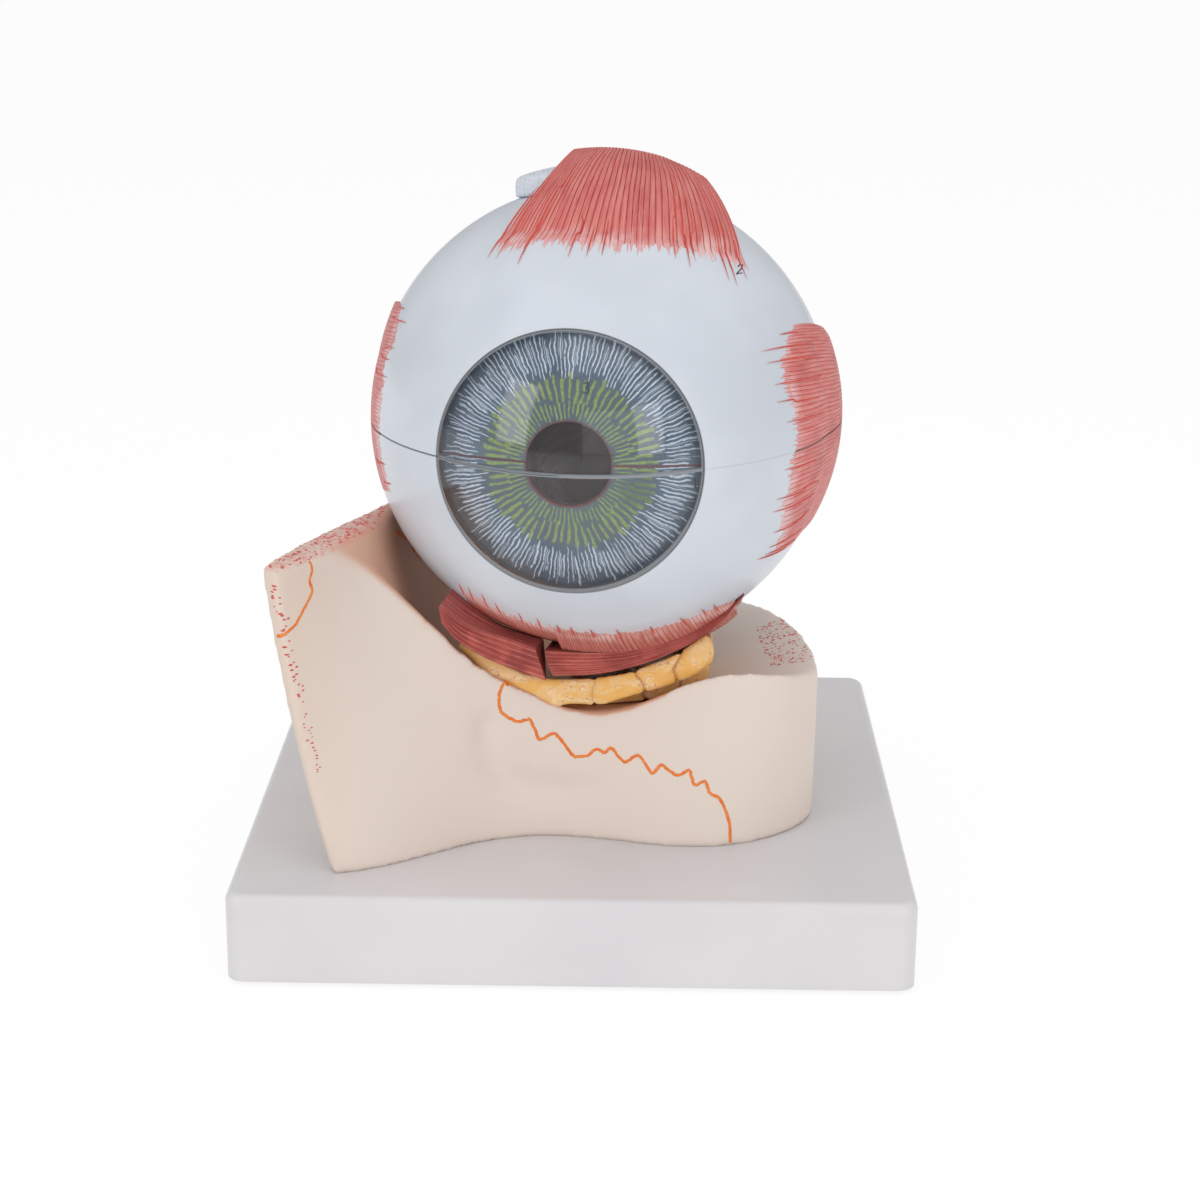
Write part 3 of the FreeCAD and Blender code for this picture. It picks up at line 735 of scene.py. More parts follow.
def patchOf(piece, name, wanted):
    # the faces of a piece that a test picks, as a mesh of their own
    shape = bmesh.new()
    shape.from_mesh(piece.data)
    rest = [face for face in shape.faces if not wanted(face.calc_center_median() / mm, face.normal)]
    bmesh.ops.delete(shape, geom=rest, context="FACES")
    mesh = bpy.data.meshes.new(name)
    shape.to_mesh(mesh)
    shape.free()
    return mesh


boneCasting = addBone()
boneTree = treeOf(boneCasting)
print("bone ready")


marrowDots = {
    "wall": {"Density": 420000.0, "Size": 0.0005, "Spread": 0.6, "Seed": 3},
    "cheek": {"Density": 620000.0, "Size": 0.0004, "Spread": 0.5, "Seed": 5},
    "holes": 64,
    "holesTop": (-76.2, 104.5),
    "holesRun": (9.4, 52),
}


def onWallTop(place, normal):
    return place.z > bone["top"] - 0.7 and normal.z > 0.8 and place.y < 30 and place.x < -38


def onCheekTop(place, normal):
    flat = 49 < place.x < 65 and -24 < place.y < 18 and place.z > 64 and normal.z > 0.85
    return flat and abs(place.x - 57.5 + 0.12 * place.y) < 6.5 and place.y < 12 - (62 - place.x) * 0.6


def addMarrow():
    red = mottled("marrow_red", bone["marrow"], bone["marrowPale"], 0.9, (0.2, 0.4), (0.00004, 0.5))
    rule = makeDotRule(red)
    strip = patchOf(boneCasting, "strip", onWallTop)
    patch = patchOf(boneCasting, "patch", onCheekTop)
    top = rule.grow("marrow_dots_wall", strip, **marrowDots["wall"])
    side = rule.grow("marrow_dots_cheek", patch, **marrowDots["cheek"])
    for dots in (top, side):
        install(dots, "root", "bone")
    # the larger holes down the narrow cut face
    rng = random.Random(11)
    lines = []
    count = marrowDots["holes"]
    left, high = marrowDots["holesTop"]
    across, down = marrowDots["holesRun"]
    for step in range(count):
        share = step / (count - 1)
        x = left + across * share + rng.uniform(-1.6, 1.4) * (1 - 0.6 * share)
        z = high - down * share + rng.uniform(-0.8, 0.8)
        size = rng.uniform(0.7, 1.3) * (1 - 0.35 * share)
        hit, normal = boneTree.ray_cast(Vector((x * mm, -0.2, z * mm)), Vector((0, 1, 0)))[:2]
        if hit and 0.03 < abs(share - 0.27) and abs(share - 0.66) > 0.03:
            aside = normal.cross(Vector((0, 0, 1))).normalized() * 0.15 * mm
            upward = aside.normalized().cross(normal) * size * 0.5 * mm
            sink = normal * size * 0.55 * mm
            thin = size * 0.4 * mm
            middle = (hit - sink - aside, size * mm * 0.8)
            lines.append([(hit - upward - sink, thin), middle, (hit + upward - sink, thin)])
    holes = strokes("marrow_dots_front", lines, red, 8)
    install(holes, "root", "bone")


addMarrow()

sutures = {
    "cheek": [(-16.6, -45, 69.6), (-18.4, -45, 69.2), (-20, -45, 67.2), (-20.8, -45, 64.6),
              (-20.6, -45, 62), (-19.8, -45, 60), (-17.5, -45, 58.4), (-15.4, -45, 57.6),
              (-13.4, -44, 57.9), (-12.4, -44, 58), (-11.2, -44, 55.4), (-9.9, -44, 52.4),
              (-7.8, -44, 53.2), (-5.6, -44, 53.9), (-3.1, -44, 51), (-0.7, -45, 48), (1.2, -45, 47.7),
              (3.4, -45, 48.2), (5.9, -45, 50), (7.8, -45, 49.1), (9.9, -45, 50.4), (11.6, -46, 48.6),
              (13.5, -47, 47), (15.6, -47, 48.5), (17.6, -47, 48.9), (19.4, -48, 46.5),
              (21.1, -49, 44.6), (23.3, -49, 47), (25.7, -49, 45.5), (27.9, -50, 44.5),
              (30.8, -50, 46.2), (31.6, -50, 44), (32.5, -50, 42), (35.2, -50, 43), (36.1, -51, 41),
              (36.9, -51, 39.6), (39.4, -51, 38.2), (41.1, -51, 34.6), (42, -51, 31.2),
              (42.2, -51, 25.8)],
    "nose": [(-67.8, -66, 109), (-67.5, -66, 106), (-68.4, -67, 103.6), (-67.7, -66.6, 100.6),
             (-69.5, -69.3, 96.8), (-71.4, -71.8, 93.2), (-73.6, -73.8, 91.6), (-76.4, -73, 90.4)],
    "wall": [(-50.6, -19.2, 103.2), (-49.4, -11.5, 100.2), (-47.7, -5.8, 96.5), (-47, -5.1, 94.3),
             (-45.8, -3, 91.9), (-44.1, 0, 89.2), (-42.3, 2.3, 86.2), (-38.1, 7.2, 79.9), (-36, 12, 78),
             (-33, 17, 80), (-30, 22, 79)],
    "girth": 0.62,
    "wallGirth": 0.85,
}


def sutureLine(points, wobble, seed, girth):
    rng = random.Random(seed)
    path = smoothLine([Vector(p) * mm for p in points], len(points) * 5)
    line = []
    for place in path:
        place = place + Vector((rng.uniform(-1, 1), 0, rng.uniform(-1, 1))) * wobble * mm
        near, normal = boneTree.find_nearest(place)[:2]
        thick = girth * rng.uniform(0.85, 1.15) * mm
        line.append((near - normal * thick * 0.62, thick))
    return line


lines = [
    sutureLine(sutures["cheek"], 0.12, 1, sutures["girth"]),
    sutureLine(sutures["nose"], 0.1, 2, sutures["girth"]),
    sutureLine(sutures["wall"], 0.3, 4, sutures["wallGirth"]),
]
orange = mottled("suture_orange", bone["suture"], bone["sutureLight"], 0.6, (0.2, 0.35), (0.00004, 0.5))
install(strokes("bone_sutures", lines, orange, 8), "root", "bone")
print("sutures ready")

# globe: walls, coats and clear parts

paintwork = {
    "sclera": tone(214, 220, 229),
    "scleraDeep": tone(206, 212, 221),
    "limbus": tone(128, 132, 138),
    "irisOuter": tone(62, 80, 100),
    "irisInner": tone(76, 91, 101),
    "irisWhite": tone(224, 232, 240),
    "irisGreen": tone(156, 176, 84),
    "irisOlive": tone(128, 148, 74),
    "irisBrown": tone(110, 40, 42),
}


def paintSclera():
    paint = Paint("sclera_paint")
    place = paint.inEye()
    x, y, z = paint.split(place)
    drift = paint.cloud(place, 0.03, 2)
    grain = paint.cloud(place, 1.2, 4)
    colour = paint.patchy(drift, paintwork["sclera"], paintwork["scleraDeep"])
    fromAxis = (x * x + z * z) ** 0.5
    distance = (x * x + y * y + z * z) ** 0.5
    inside = distance.step(61.2, 60.6)
    colour = paint.blend(inside, colour, tone(226, 222, 214))
    lip = fromAxis.step(34.6, 34.25) * y.step(-40, -45)
    colour = paint.blend(lip, colour, paintwork["limbus"])
    seam = abs(z).step(0.3, 0.14) * (1 - inside) * (x.step(10, -10) * 0.5 + 0.08)
    colour = paint.blend(seam, colour, tone(120, 114, 116))
    bump = paint.relief(grain, 0.00004, 0.35)
    rough = grain * 0.08 + 0.3
    return paint.finish(BaseColor=colour, Roughness=rough, Normal=bump, CoatWeight=0.25, CoatRoughness=0.1)


def paintIris():
    paint = Paint("iris_paint")
    x, y, z = paint.split(paint.inEye())
    radius = (x * x + z * z) ** 0.5
    angle = z.apply("ARCTAN2", x)
    flat = paint.join(x, z, 0.0)
    wave = paint.cloud(flat, 0.16, 3) - 0.5
    drift = paint.cloud(flat, 0.05, 2)

    def brushes(count, sway, inner, outer, vary, width, key, soft=0.07):
        # short radial strokes, each with its own ends
        place = angle * (count / (2 * math.pi)) + wave * sway
        number = place.apply("FLOOR")
        start = paint.chance(number + key) * vary + inner
        end = outer - paint.chance(number + key + 0.37) * vary
        side = abs(place.apply("FRACT") - 0.5)
        thin = paint.chance(number + key + 0.71) * 0.1 + width
        line = (thin - side).step(-soft, soft)
        return line * (radius - start).step(-0.4, 0.4) * (end - radius).step(-0.4, 0.4)

    slate = paint.blend(drift.step(0.3, 0.7), paintwork["irisOuter"], tone(86, 105, 124))
    inner = paint.blend(drift.step(0.3, 0.7), paintwork["irisInner"], tone(87, 103, 107))
    colour = paint.blend(radius.step(24.0, 20.5), slate, inner)
    speck = paint.cloud(flat, 1.1, 3)
    brown = x.step(-17, -23) * z.step(-6, -10) * z.step(-24, -18) * radius.step(23, 26)
    colour = paint.blend(brown * speck.step(0.3, 0.6) * 0.7, colour, tone(112, 92, 88))
    white = brushes(156, 2.0, 20.8, 33.8, 4.4, 0.1, 0.0, 0.06)
    white = white + brushes(203, 2.4, 23.0, 33.6, 5.5, 0.05, 40.0, 0.05) * 0.7
    colour = paint.blend(white * speck.step(0.26, 0.46) * 0.9, colour, paintwork["irisWhite"])
    near = brushes(78, 1.3, 11.0, 17.0, 2.0, 0.14, 90.0)
    far = brushes(66, 1.2, 15.2, 23.1, 2.2, 0.15, 130.0)
    green = paint.patchy(speck, paintwork["irisOlive"], paintwork["irisGreen"])
    spot = x.step(11.5, 14.5) * x.step(22.5, 19.5) * z.step(-11.5, -9) * z.step(-2, -4.5)
    green = paint.blend(spot * 0.7, green, tone(74, 104, 54))
    colour = paint.blend((near + far * 0.95) * 0.92, colour, green)
    foot = z.step(2, -8) * 0.35 + 0.6
    colour = paint.blend(radius.step(11.6, 11.1) * foot, colour, paintwork["irisBrown"])
    colour = paint.blend(radius.step(32.6, 33.5), colour, tone(96, 102, 110))
    colour = paint.blend(abs(z).step(0.42, 0.2) * 0.85, colour, paintwork["irisBrown"])
    behind = (y - radius * radius / 176).step(-53.4, -52.8)
    colour = paint.blend(behind, colour, tone(92, 58, 48))
    bump = paint.relief(white + near + far, 0.00008, 0.4)
    return paint.finish(BaseColor=colour, Roughness=speck * 0.12 + 0.42, Normal=bump)


def clearPlastic(name, tint, haze, rim=None, seam=0.0, gleam=1.0, bend=1.47, coat=0.0):
    # clear moulding that lets the lamps through, with satin at its rim and where it is parted
    paint = Paint(name)
    place = paint.inEye()
    x, _, z = paint.split(place)
    path = paint.others(paint.add("ShaderNodeLightPath"))
    swirl = paint.cloud(place, 0.08, 2)
    bump = paint.relief(swirl, 0.0001, 0.12)
    glass = paint.shader(BaseColor=tint, Roughness=0.02, TransmissionWeight=1.0, ior=bend,
                         SpecularTint=(gleam,) * 3, CoatWeight=coat, Normal=bump)
    through = paint.add("ShaderNodeBsdfTransparent", {}, {"Color": (*tint, 1)})
    clear = paint.add("ShaderNodeMixShader", {}, {0: path[1], 1: glass, 2: through})
    satin = paint.shader(BaseColor=haze, Roughness=0.38)
    fromAxis = (x * x + z * z) ** 0.5
    mask = abs(z).step(seam + 0.12, seam - 0.05) * 0.8
    if rim:
        # the wall shows broader at the bottom, where it is seen through its own curve
        inset = z.step(-4, -30) * 0.9 + 0.8
        edge = (fromAxis - rim + inset).step(0, 0.7)
        mask = mask.apply("MAXIMUM", edge * 0.72)
    mixed = paint.add("ShaderNodeMixShader", {}, {0: mask, 1: clear, 2: satin})
    return paint.close(mixed)


def wallColour(name, outer, inner, spots, level):
    # a coat with one colour outside and another inside
    paint = Paint(name)
    place = paint.inEye()
    x, y, z = paint.split(place)
    distance = (x * x + y * y + z * z) ** 0.5
    inside = distance.step(level + 0.3, level - 0.3)
    mottle = paint.cloud(place, 0.35, 4)
    fine = paint.cloud(place, 1.6, 3)
    outside = paint.blend(mottle.step(0.35, 0.7), outer, spots)
    within = paint.blend(mottle.step(0.3, 0.75), inner, tone(226, 150, 84))
    colour = paint.blend(inside, outside, within)
    bump = paint.relief(fine, 0.00006, 0.4)
    return paint.finish(BaseColor=colour, Roughness=fine * 0.12 + 0.38, Normal=bump)


def paintCiliary():
    paint = Paint("ciliary_paint")
    place = paint.inEye()
    x, _, z = paint.split(place)
    mottle = paint.cloud(place, 0.6, 3)
    radius = (x * x + z * z) ** 0.5
    colour = paint.patchy(mottle, tone(86, 48, 40), tone(122, 74, 58))
    colour = paint.blend(radius.step(31.0, 27.5) * 0.6, colour, tone(176, 128, 104))
    bump = paint.relief(mottle, 0.0001, 0.4)
    return paint.finish(BaseColor=colour, Roughness=mottle * 0.15 + 0.4, Normal=bump)


scleraPaint = paintSclera()
irisPaint = paintIris()
corneaClear = clearPlastic("clear_cornea", tone(246, 249, 252), tone(150, 154, 160),
                            eye["limbusRadius"], 0.35)
lensClear = clearPlastic("clear_lens", tone(242, 232, 240), tone(214, 216, 214), seam=-1, gleam=0.3,
                          bend=1.3)
vitreousClear = clearPlastic("clear_vitreous", tone(238, 230, 240), tone(210, 214, 216), seam=-1, bend=1.04,
                              coat=0.4)
choroidPaint = wallColour("choroid_paint", tone(112, 44, 38), tone(214, 122, 66), tone(140, 62, 48), 58.0)
ciliaryPaint = paintCiliary()


def domeLine(reach, apex, start, end, count):
    # (radius, ahead) points of the iris's dome
    centre = apex - reach
    points = []
    for step in range(count + 1):
        radius = start + (end - start) * step / count
        points.append((radius, centre + math.sqrt(reach * reach - radius * radius)))
    return points


def addWalls(side, shellBody, coatBody):
    limbus = eye["limbusRadius"]
    outer, wall = eye["scleraRadius"], eye["scleraWall"]
    start = rimAngle(limbus + 0.35, outer)
    face = [(limbus, arc(outer, start, start, 1)[0][1] - 0.15), *arc(outer, start, 180, 84)]
    lining = arc(outer - wall, rimAngle(limbus, outer - wall), 180, 85)
    sclera = halfShell(side + "_sclera_wall", face, lining, side, scleraPaint)
    install(sclera, shellBody, "sclera", side + "_sclera")
    reach, ahead = eye["corneaRadius"], eye["corneaAhead"]
    inner = reach - eye["corneaWall"]
    rim = limbus - 0.06
    front = arc(reach, 0, rimAngle(rim, reach), 40, ahead)
    back = arc(inner, 0, rimAngle(rim, inner), 40, ahead)
    cornea = halfShell(side + "_cornea_wall", front, back, side, corneaClear, bevel=0.15)
    install(cornea, shellBody, "clear_cornea", side + "_cornea")
    coat = eye["choroidRadius"]
    lining = coat - eye["choroidWall"]
    outside = arc(coat, rimAngle(limbus, coat), 180, 70)
    inside = arc(lining, rimAngle(limbus, lining), 180, 70)
    choroid = halfShell(side + "_choroid_wall", outside, inside, side, choroidPaint)
    install(choroid, coatBody, "choroid", side + "_choroid")
    pupil = eye["pupilRadius"]
    dome = domeLine(eye["irisRadius"], eye["irisApex"], pupil + 0.1, limbus - 0.15, 40)
    dome = [(pupil, dome[0][1] - 0.35), *dome]
    thin = eye["irisWall"]
    under = domeLine(eye["irisRadius"] - thin, eye["irisApex"] - thin, pupil, limbus - 0.15, 41)
    iris = halfShell(side + "_iris_disc", dome, under, side, irisPaint, bevel=0.12)
    install(iris, coatBody, "iris", side + "_iris")
    return sclera, iris


lowerIris = addWalls("lower", "lower_shell", "lower_coat")[1]
upperSclera, upperIris = addWalls("upper", "upper_shell", "upper_coat")

clearParts = {
    "lensBack": 28.0,
    "lensBackRadius": 30.0,
    "lensFrontRadius": 50.0,
    "lensRadius": 24.0,
    "vitreousRadius": 56.3,
    "dishRadius": 126.0,
    "dishAhead": 27.7,
}


def addClearParts():
    size = clearParts
    back, front, rim = size["lensBackRadius"], size["lensFrontRadius"], size["lensRadius"]
    edge = size["lensBack"] + back - math.sqrt(back * back - rim * rim)
    profile = []
    for step in range(25):
        radius = (rim - 0.5) * step / 24
        profile.append((radius, size["lensBack"] + back - math.sqrt(back * back - radius * radius)))
    profile += [(rim - 0.12, edge - 0.25), (rim, edge), (rim - 0.12, edge + 0.2)]
    middle = edge - math.sqrt(front * front - rim * rim)
    for step in range(24, -1, -1):
        radius = (rim - 0.5) * step / 24
        profile.append((radius, middle + math.sqrt(front * front - radius * radius)))
    lens = wholeTurn("lens_moulding", profile, lensClear)
    install(lens, "lens", "clear_lens", "lens")
    ball, dish, ahead = size["vitreousRadius"], size["dishRadius"], size["dishAhead"]
    # where the dish meets the ball
    meet = (ball * ball - dish * dish + (ahead + dish) ** 2) / (2 * (ahead + dish))
    rim = math.sqrt(ball * ball - meet * meet)
    start = rimAngle(rim, ball)
    profile = []
    for step in range(25):
        radius = (rim - 0.5) * step / 24
        profile.append((radius, ahead + dish - math.sqrt(dish * dish - radius * radius)))
    profile += [(rim - 0.1, meet + 0.02), *arc(ball, start + 0.4, 180, 84)]
    ball = wholeTurn("vitreous_moulding", profile, vitreousClear, 160)
    install(ball, "vitreous", "clear_vitreous", "vitreous_body")


addClearParts()

ciliary = {
    "root": (33.5, 44.2),
    "tail": (40.8, 39.0),
    "tip": (27.6, 41.2),
    "face": [(31.5, 43.6), (29.4, 42.7)],
    "rear": [(36.6, 40.1), (32.0, 40.9)],
    "folds": 36,
    "ridge": [(27.8, 0.2), (29.2, 1.0), (31.5, 1.35), (34.5, 1.0), (37.5, 0.4), (39.6, 0.05)],
}


def makeRoundRule(material):
    # copies of one fold, fanned about the gaze axis
    rule = Rule("ciliary_folds", {"Count": ciliary["folds"], "Start": 0.0, "Step": 0.1})
    given = rule.given
    points = rule.add("GeometryNodePoints", {}, {"Count": given["Count"]})
    index = rule.add("GeometryNodeInputIndex")
    turn = index * given["Step"] + given["Start"]
    spin = rule.add("ShaderNodeCombineXYZ", {}, {"Y": turn})
    fan = {"Points": points, "Instance": given["Geometry"], "Rotation": spin}
    rule.close(rule.add("GeometryNodeInstanceOnPoints", {}, fan), material)
    return rule


def addCiliary(side, coatBody, rule):
    root, tail, tip = ciliary["root"], ciliary["tail"], ciliary["tip"]
    face = [root, *ciliary["face"], tip]
    rear = [tail, *ciliary["rear"], (tip[0] + 0.1, tip[1] - 0.25)]
    ring = halfShell(side + "_ciliary_ring", face, rear, side, ciliaryPaint, bevel=0.1, turns=90)
    install(ring, coatBody, "ciliary", side + "_ciliary_body")
    # one fold: a low ridge on the ring's back, along x
    vertices = []
    for place, rise in ciliary["ridge"]:
        level = 41.1 - (place - 27.7) * 0.16
        for across, lift in ((-0.75, -0.2), (-0.4, 0.6 * rise), (0, rise), (0.4, 0.6 * rise), (0.75, -0.2)):
            vertices.append((place * mm, (-level + lift) * mm, across * mm))
    faces = []
    for row in range(5):
        for step in range(4):
            first = row * 5 + step
            faces.append((first, first + 1, first + 6, first + 5))
        faces.append((row * 5, row * 5 + 5, row * 5 + 9, row * 5 + 4))
    faces += [(0, 1, 2, 3, 4), (29, 28, 27, 26, 25)]
    mesh = bpy.data.meshes.new("fold")
    mesh.from_pydata(vertices, [], faces)
    mesh.shade_smooth()
    turn = -signOf(side) * math.pi / ciliary["folds"]
    folds = rule.grow(side + "_ciliary_folds", mesh, Count=ciliary["folds"], Start=turn / 2, Step=turn)
    for vertex in folds.data.vertices:
        vertex.co = eyeCentre + gazeRotation @ vertex.co
    install(folds, coatBody, "ciliary")


ciliaryRule = makeRoundRule(ciliaryPaint)
for side in ("lower", "upper"):
    addCiliary(side, side + "_coat", ciliaryRule)
print("globe ready")

# muscles on the globe

def fibreRed(name, light, dark, deep, fringe):
    # painted muscle: a dark line in each groove between two ribs, paler where it runs out on the white
    paint = Paint(name)
    uv = paint.add("ShaderNodeUVMap", {"uv_map": "fibre"})
    across, along, _ = paint.split(uv)
    side = abs(across.apply("FRACT") - 0.5)
    broken = paint.cloud(paint.join(across * 0.7, along * 0.12, 3.0), 1.0, 3)
    line = side.step(0.37, 0.47) * broken.step(0.28, 0.46)
    second = abs((across * 2.6 + broken * 3).apply("FRACT") - 0.5).step(0.38, 0.49)
    streak = paint.cloud(paint.join(across * 1.5, along * 0.09, 7.0), 1.0, 4)
    patch = paint.cloud(paint.inMm(), 0.08, 3)
    colour = paint.blend(streak.step(0.32, 0.68), light, dark)
    colour = paint.blend(patch.step(0.45, 0.75) * 0.3, colour, deep)
    colour = paint.blend(second * broken.step(0.6, 0.45) * 0.4, colour, deep)
    height = paint.split(paint.inEye())[2]
    reach = (along + (streak - 0.5) * 10).step(6.5, -2.0)
    colour = paint.blend(reach * 0.7, colour, fringe)
    bare = along.step(7, 1) * patch.step(0.46, 0.56)
    colour = paint.blend(bare * 0.6, colour, tone(238, 206, 206))
    colour = paint.blend(line * along.step(-3, 3) * 0.92, colour, deep)
    colour = paint.blend(abs(height).step(0.42, 0.2) * 0.8, colour, tone(104, 30, 32))
    bump = paint.relief(side * -1 + streak * 0.4, 0.0002, 0.5)
    return paint.finish(BaseColor=colour, Roughness=streak * 0.15 + 0.42, Normal=bump, CoatWeight=0.05)


# the light, dark, groove and front tones of each
muscleTones = {
    "red": (tone(221, 134, 126), tone(209, 101, 97), tone(156, 44, 42), tone(234, 184, 182)),
    "warm": (tone(228, 142, 134), tone(216, 108, 104), tone(156, 44, 42), tone(234, 184, 182)),
    "rose": (tone(222, 140, 134), tone(214, 118, 114), tone(164, 62, 60), tone(224, 158, 156)),
    # the inferior muscle's own tan-pink, darkened a little as painted shade for the shade it lies in under
    # the globe
    "comb": (tone(212, 138, 124), tone(192, 102, 92), tone(156, 54, 48), tone(226, 172, 162)),
}
musclePaint = {key: fibreRed("muscle_" + key, *tones) for key, tones in muscleTones.items()}
vesselPaint = mottled("vessel_red", tone(208, 66, 52), tone(222, 90, 72), 0.5, (0.15, 0.32), (0.00003, 0.4))

superior = {
    "front": [(-23.4, -27.4, 51.1), (-17.9, -31.2, 51.1), (-11.4, -31.6, 52.7), (-2, -33.2, 52.6),
              (8.7, -33, 52.3), (16.7, -30.6, 52.2), (26.3, -25.6, 50.9), (34, -20.5, 48.7),
              (39.4, -15.1, 46.1)],
    "back": [(-8, 4.6, 68), (2, 5.2, 70), (10, 5.4, 70), (18, 5, 69), (26.6, 3.6, 66)],
    "swell": (0, 10.5, 16.9, 55.3), "waist": 3.2, "skew": 1.4,
    "columns": 420, "rows": 60, "ridges": 42, "ridge": 0.26,
    "spikes": (330, 5.6, 1.0), "seed": 21,
    "vessels": [(0.01, 6.3, 16), (0.055, 6.1, 24), (0.195, 8.9, 10), (0.205, 5.8, 26), (0.37, 6.4, 12),
                (0.42, 5.5, 6), (0.465, 4.7, 8), (0.7, 4.8, 20), (0.735, 7.5, 24), (0.76, 4.5, 16),
                (0.87, 9.5, 20), (0.905, 10.7, 14), (0.955, 7.5, 10)],
}
lateral = {
    "front": [(52.6, -15, 30.3), (51.7, -21.5, 27.7), (51, -27, 24), (51.3, -29.6, 19.6),
              (52.8, -29.6, 14.7), (54.6, -29, 8.3), (55.2, -28.9, 3.3), (54.7, -30, -1.6),
              (53.5, -31, -7.7), (52.3, -30.4, -14.3), (51.8, -27, -21.9), (50.4, -24.6, -26.9),
              (49.6, -22.6, -29.8)],
    "back": [(54.5, 12, 23.5), (59, 12.5, 15), (60.5, 12.5, 5), (60, 12, -4), (57.5, 11, -14),
             (54, 9, -25)],
    "swell": (4.5, 8, 0, 59.8), "shoulder": 0.14,
    "columns": 450, "rows": 60, "ridges": 56, "ridge": 0.12,
    "spikes": (210, 3.6, 1.1), "seed": 33,
    "vessels": [(0.05, 6.4, 4), (0.12, 11.8, 16), (0.185, 7.4, 22), (0.28, 4.6, 24), (0.35, 6.3, 16),
                (0.42, 4, 18), (0.62, 3.5, 14), (0.715, 4, 20), (0.765, 5, 18), (0.83, 4, 16),
                (0.9, 4.4, 14), (0.95, 5.4, 12), (0.985, 9, 6)],
}
medial = {
    "front": [(-52.1, -14.3, 31.5), (-51.5, -18.7, 30.2), (-50.7, -25.5, 25.8), (-51.8, -27, 22.1),
              (-54.2, -25.6, 17.8), (-53.6, -29.4, 12.9), (-54.2, -30.2, 7.9), (-54.7, -30.1, 2.9),
              (-54.6, -30.4, -3.2), (-54.2, -30.4, -8.1), (-52.6, -31.6, -12), (-51.4, -31.8, -15.6)],
    "back": [(-56, 12, 26), (-60, 12, 14), (-61, 13, 4), (-60, 12, -6), (-57, 9, -20)],
    "swell": (2, 6.1, 2.8, 64.9),
    "columns": 400, "rows": 60, "ridges": 50, "ridge": 0.1,
    "spikes": (200, 2.6, 0.4), "seed": 45,
    "vessels": [(0.05, 6.4, 2), (0.13, 8.9, 6), (0.27, 3.4, 12), (0.34, 4.4, 8), (0.42, 4.2, 12),
                (0.82, 3.6, 8), (0.94, 3.8, 4)],
}
inferior = {
    "front": [(-6.6, -39.4, -48.2), (-1, -38.6, -49.2), (5.6, -37.4, -49.8), (16.1, -34.8, -49.4),
              (26.3, -31.6, -47), (33.8, -28, -44.5), (39.6, -20.7, -43.7)],
    "back": [(-5, 10, -61), (5, 11, -61), (16, 9.5, -60), (30, 0, -55), (38, -10, -48)],
    "swell": (0, 6.2, -8.6, 60.0), "limit": 68.3,
    "columns": 380, "rows": 60, "ridges": 48, "ridge": 0.16,
    "spikes": (220, 2.8, 0.8), "seed": 57,
    "vessels": [(0.05, 3.5, 3), (0.16, 4, 3), (0.3, 3.5, 3), (0.42, 4, 3), (0.55, 3, 3), (0.68, 3.5, 3),
                (0.8, 4, 3), (0.87, 4.5, 3)],
}
fringe = {
    "front": [(-31.9, -35.3, -40.5), (-26.1, -38, -42.4), (-20.9, -38.2, -44.8), (-12.5, -39.2, -47.1),
              (-6.4, -39.4, -48.2)],
    "back": [(-28, -16, -53), (-20, -17, -57), (-12, -18, -58.5), (-4, -19, -59.3)],
    "swell": None,
    "columns": 200, "rows": 24, "ridges": 24, "ridge": 0.0,
    "spikes": (110, 4.0, 0.8), "seed": 63,
    "vessels": [(0.02, 4.5, 3), (0.14, 5, 3), (0.33, 5.5, 3), (0.5, 5, 3), (0.68, 4.5, 3),
                (0.85, 4.5, 3)],
}


def makeSpikes(stump, width):
    count, tall, _ = stump["spikes"]
    rng = random.Random(stump["seed"])
    spikes = []
    for _ in range(count):
        middle, wide = rng.uniform(0, width), rng.uniform(0.45, 1.1)
        spikes.append((middle, wide, tall * (0.1 + 0.9 * rng.random() ** 2.2)))
    return spikes


def spikeAt(spikes, place):
    tallest = 0.0
    for middle, wide, tall in spikes:
        gap = abs(place - middle) / wide * 2
        if gap < 1:
            tallest = max(tallest, tall * (1 - gap))
    return tallest


def lineAcross(stump, key, count):
    skew = stump.get("skew", 1.0) if key == "back" else 1.0
    return [p.normalized() for p in smoothLine([Vector(q).normalized() for q in stump[key]], count, skew)]


def swellHeight(stump, direction, depth, share):
    # how far the muscle stands off the white of the eye, at a depth behind its front line, both in mm
    if not stump["swell"]:
        return 0.0
    centre = Vector(stump["swell"][:3])
    along = direction.dot(centre)
    reach = along + math.sqrt(along * along - centre.length_squared + stump["swell"][3] ** 2)
    rise = ramp(depth, 0, 4)
    corner = min(1.0, 0.3 + share / stump["shoulder"]) if "shoulder" in stump else 1.0
    slope = rise * (2 - rise) * corner * (2 - corner)
    return max(0.0, min(reach, stump.get("limit", 99)) - eye["scleraRadius"]) * slope


def directionAt(stump, fronts, backs, column, place):
    # place is 0 on the muscle's front line and 1 at its cut back end
    share = column / (len(fronts) - 1)
    direction = fronts[column] + (backs[column] - fronts[column]) * place
    waist = stump.get("waist", 0) / eye["scleraRadius"] * max(0, 1 - share / 0.4)
    return (direction + Vector((waist * math.sin(math.pi * clamp(place)), 0, 0))).normalized()


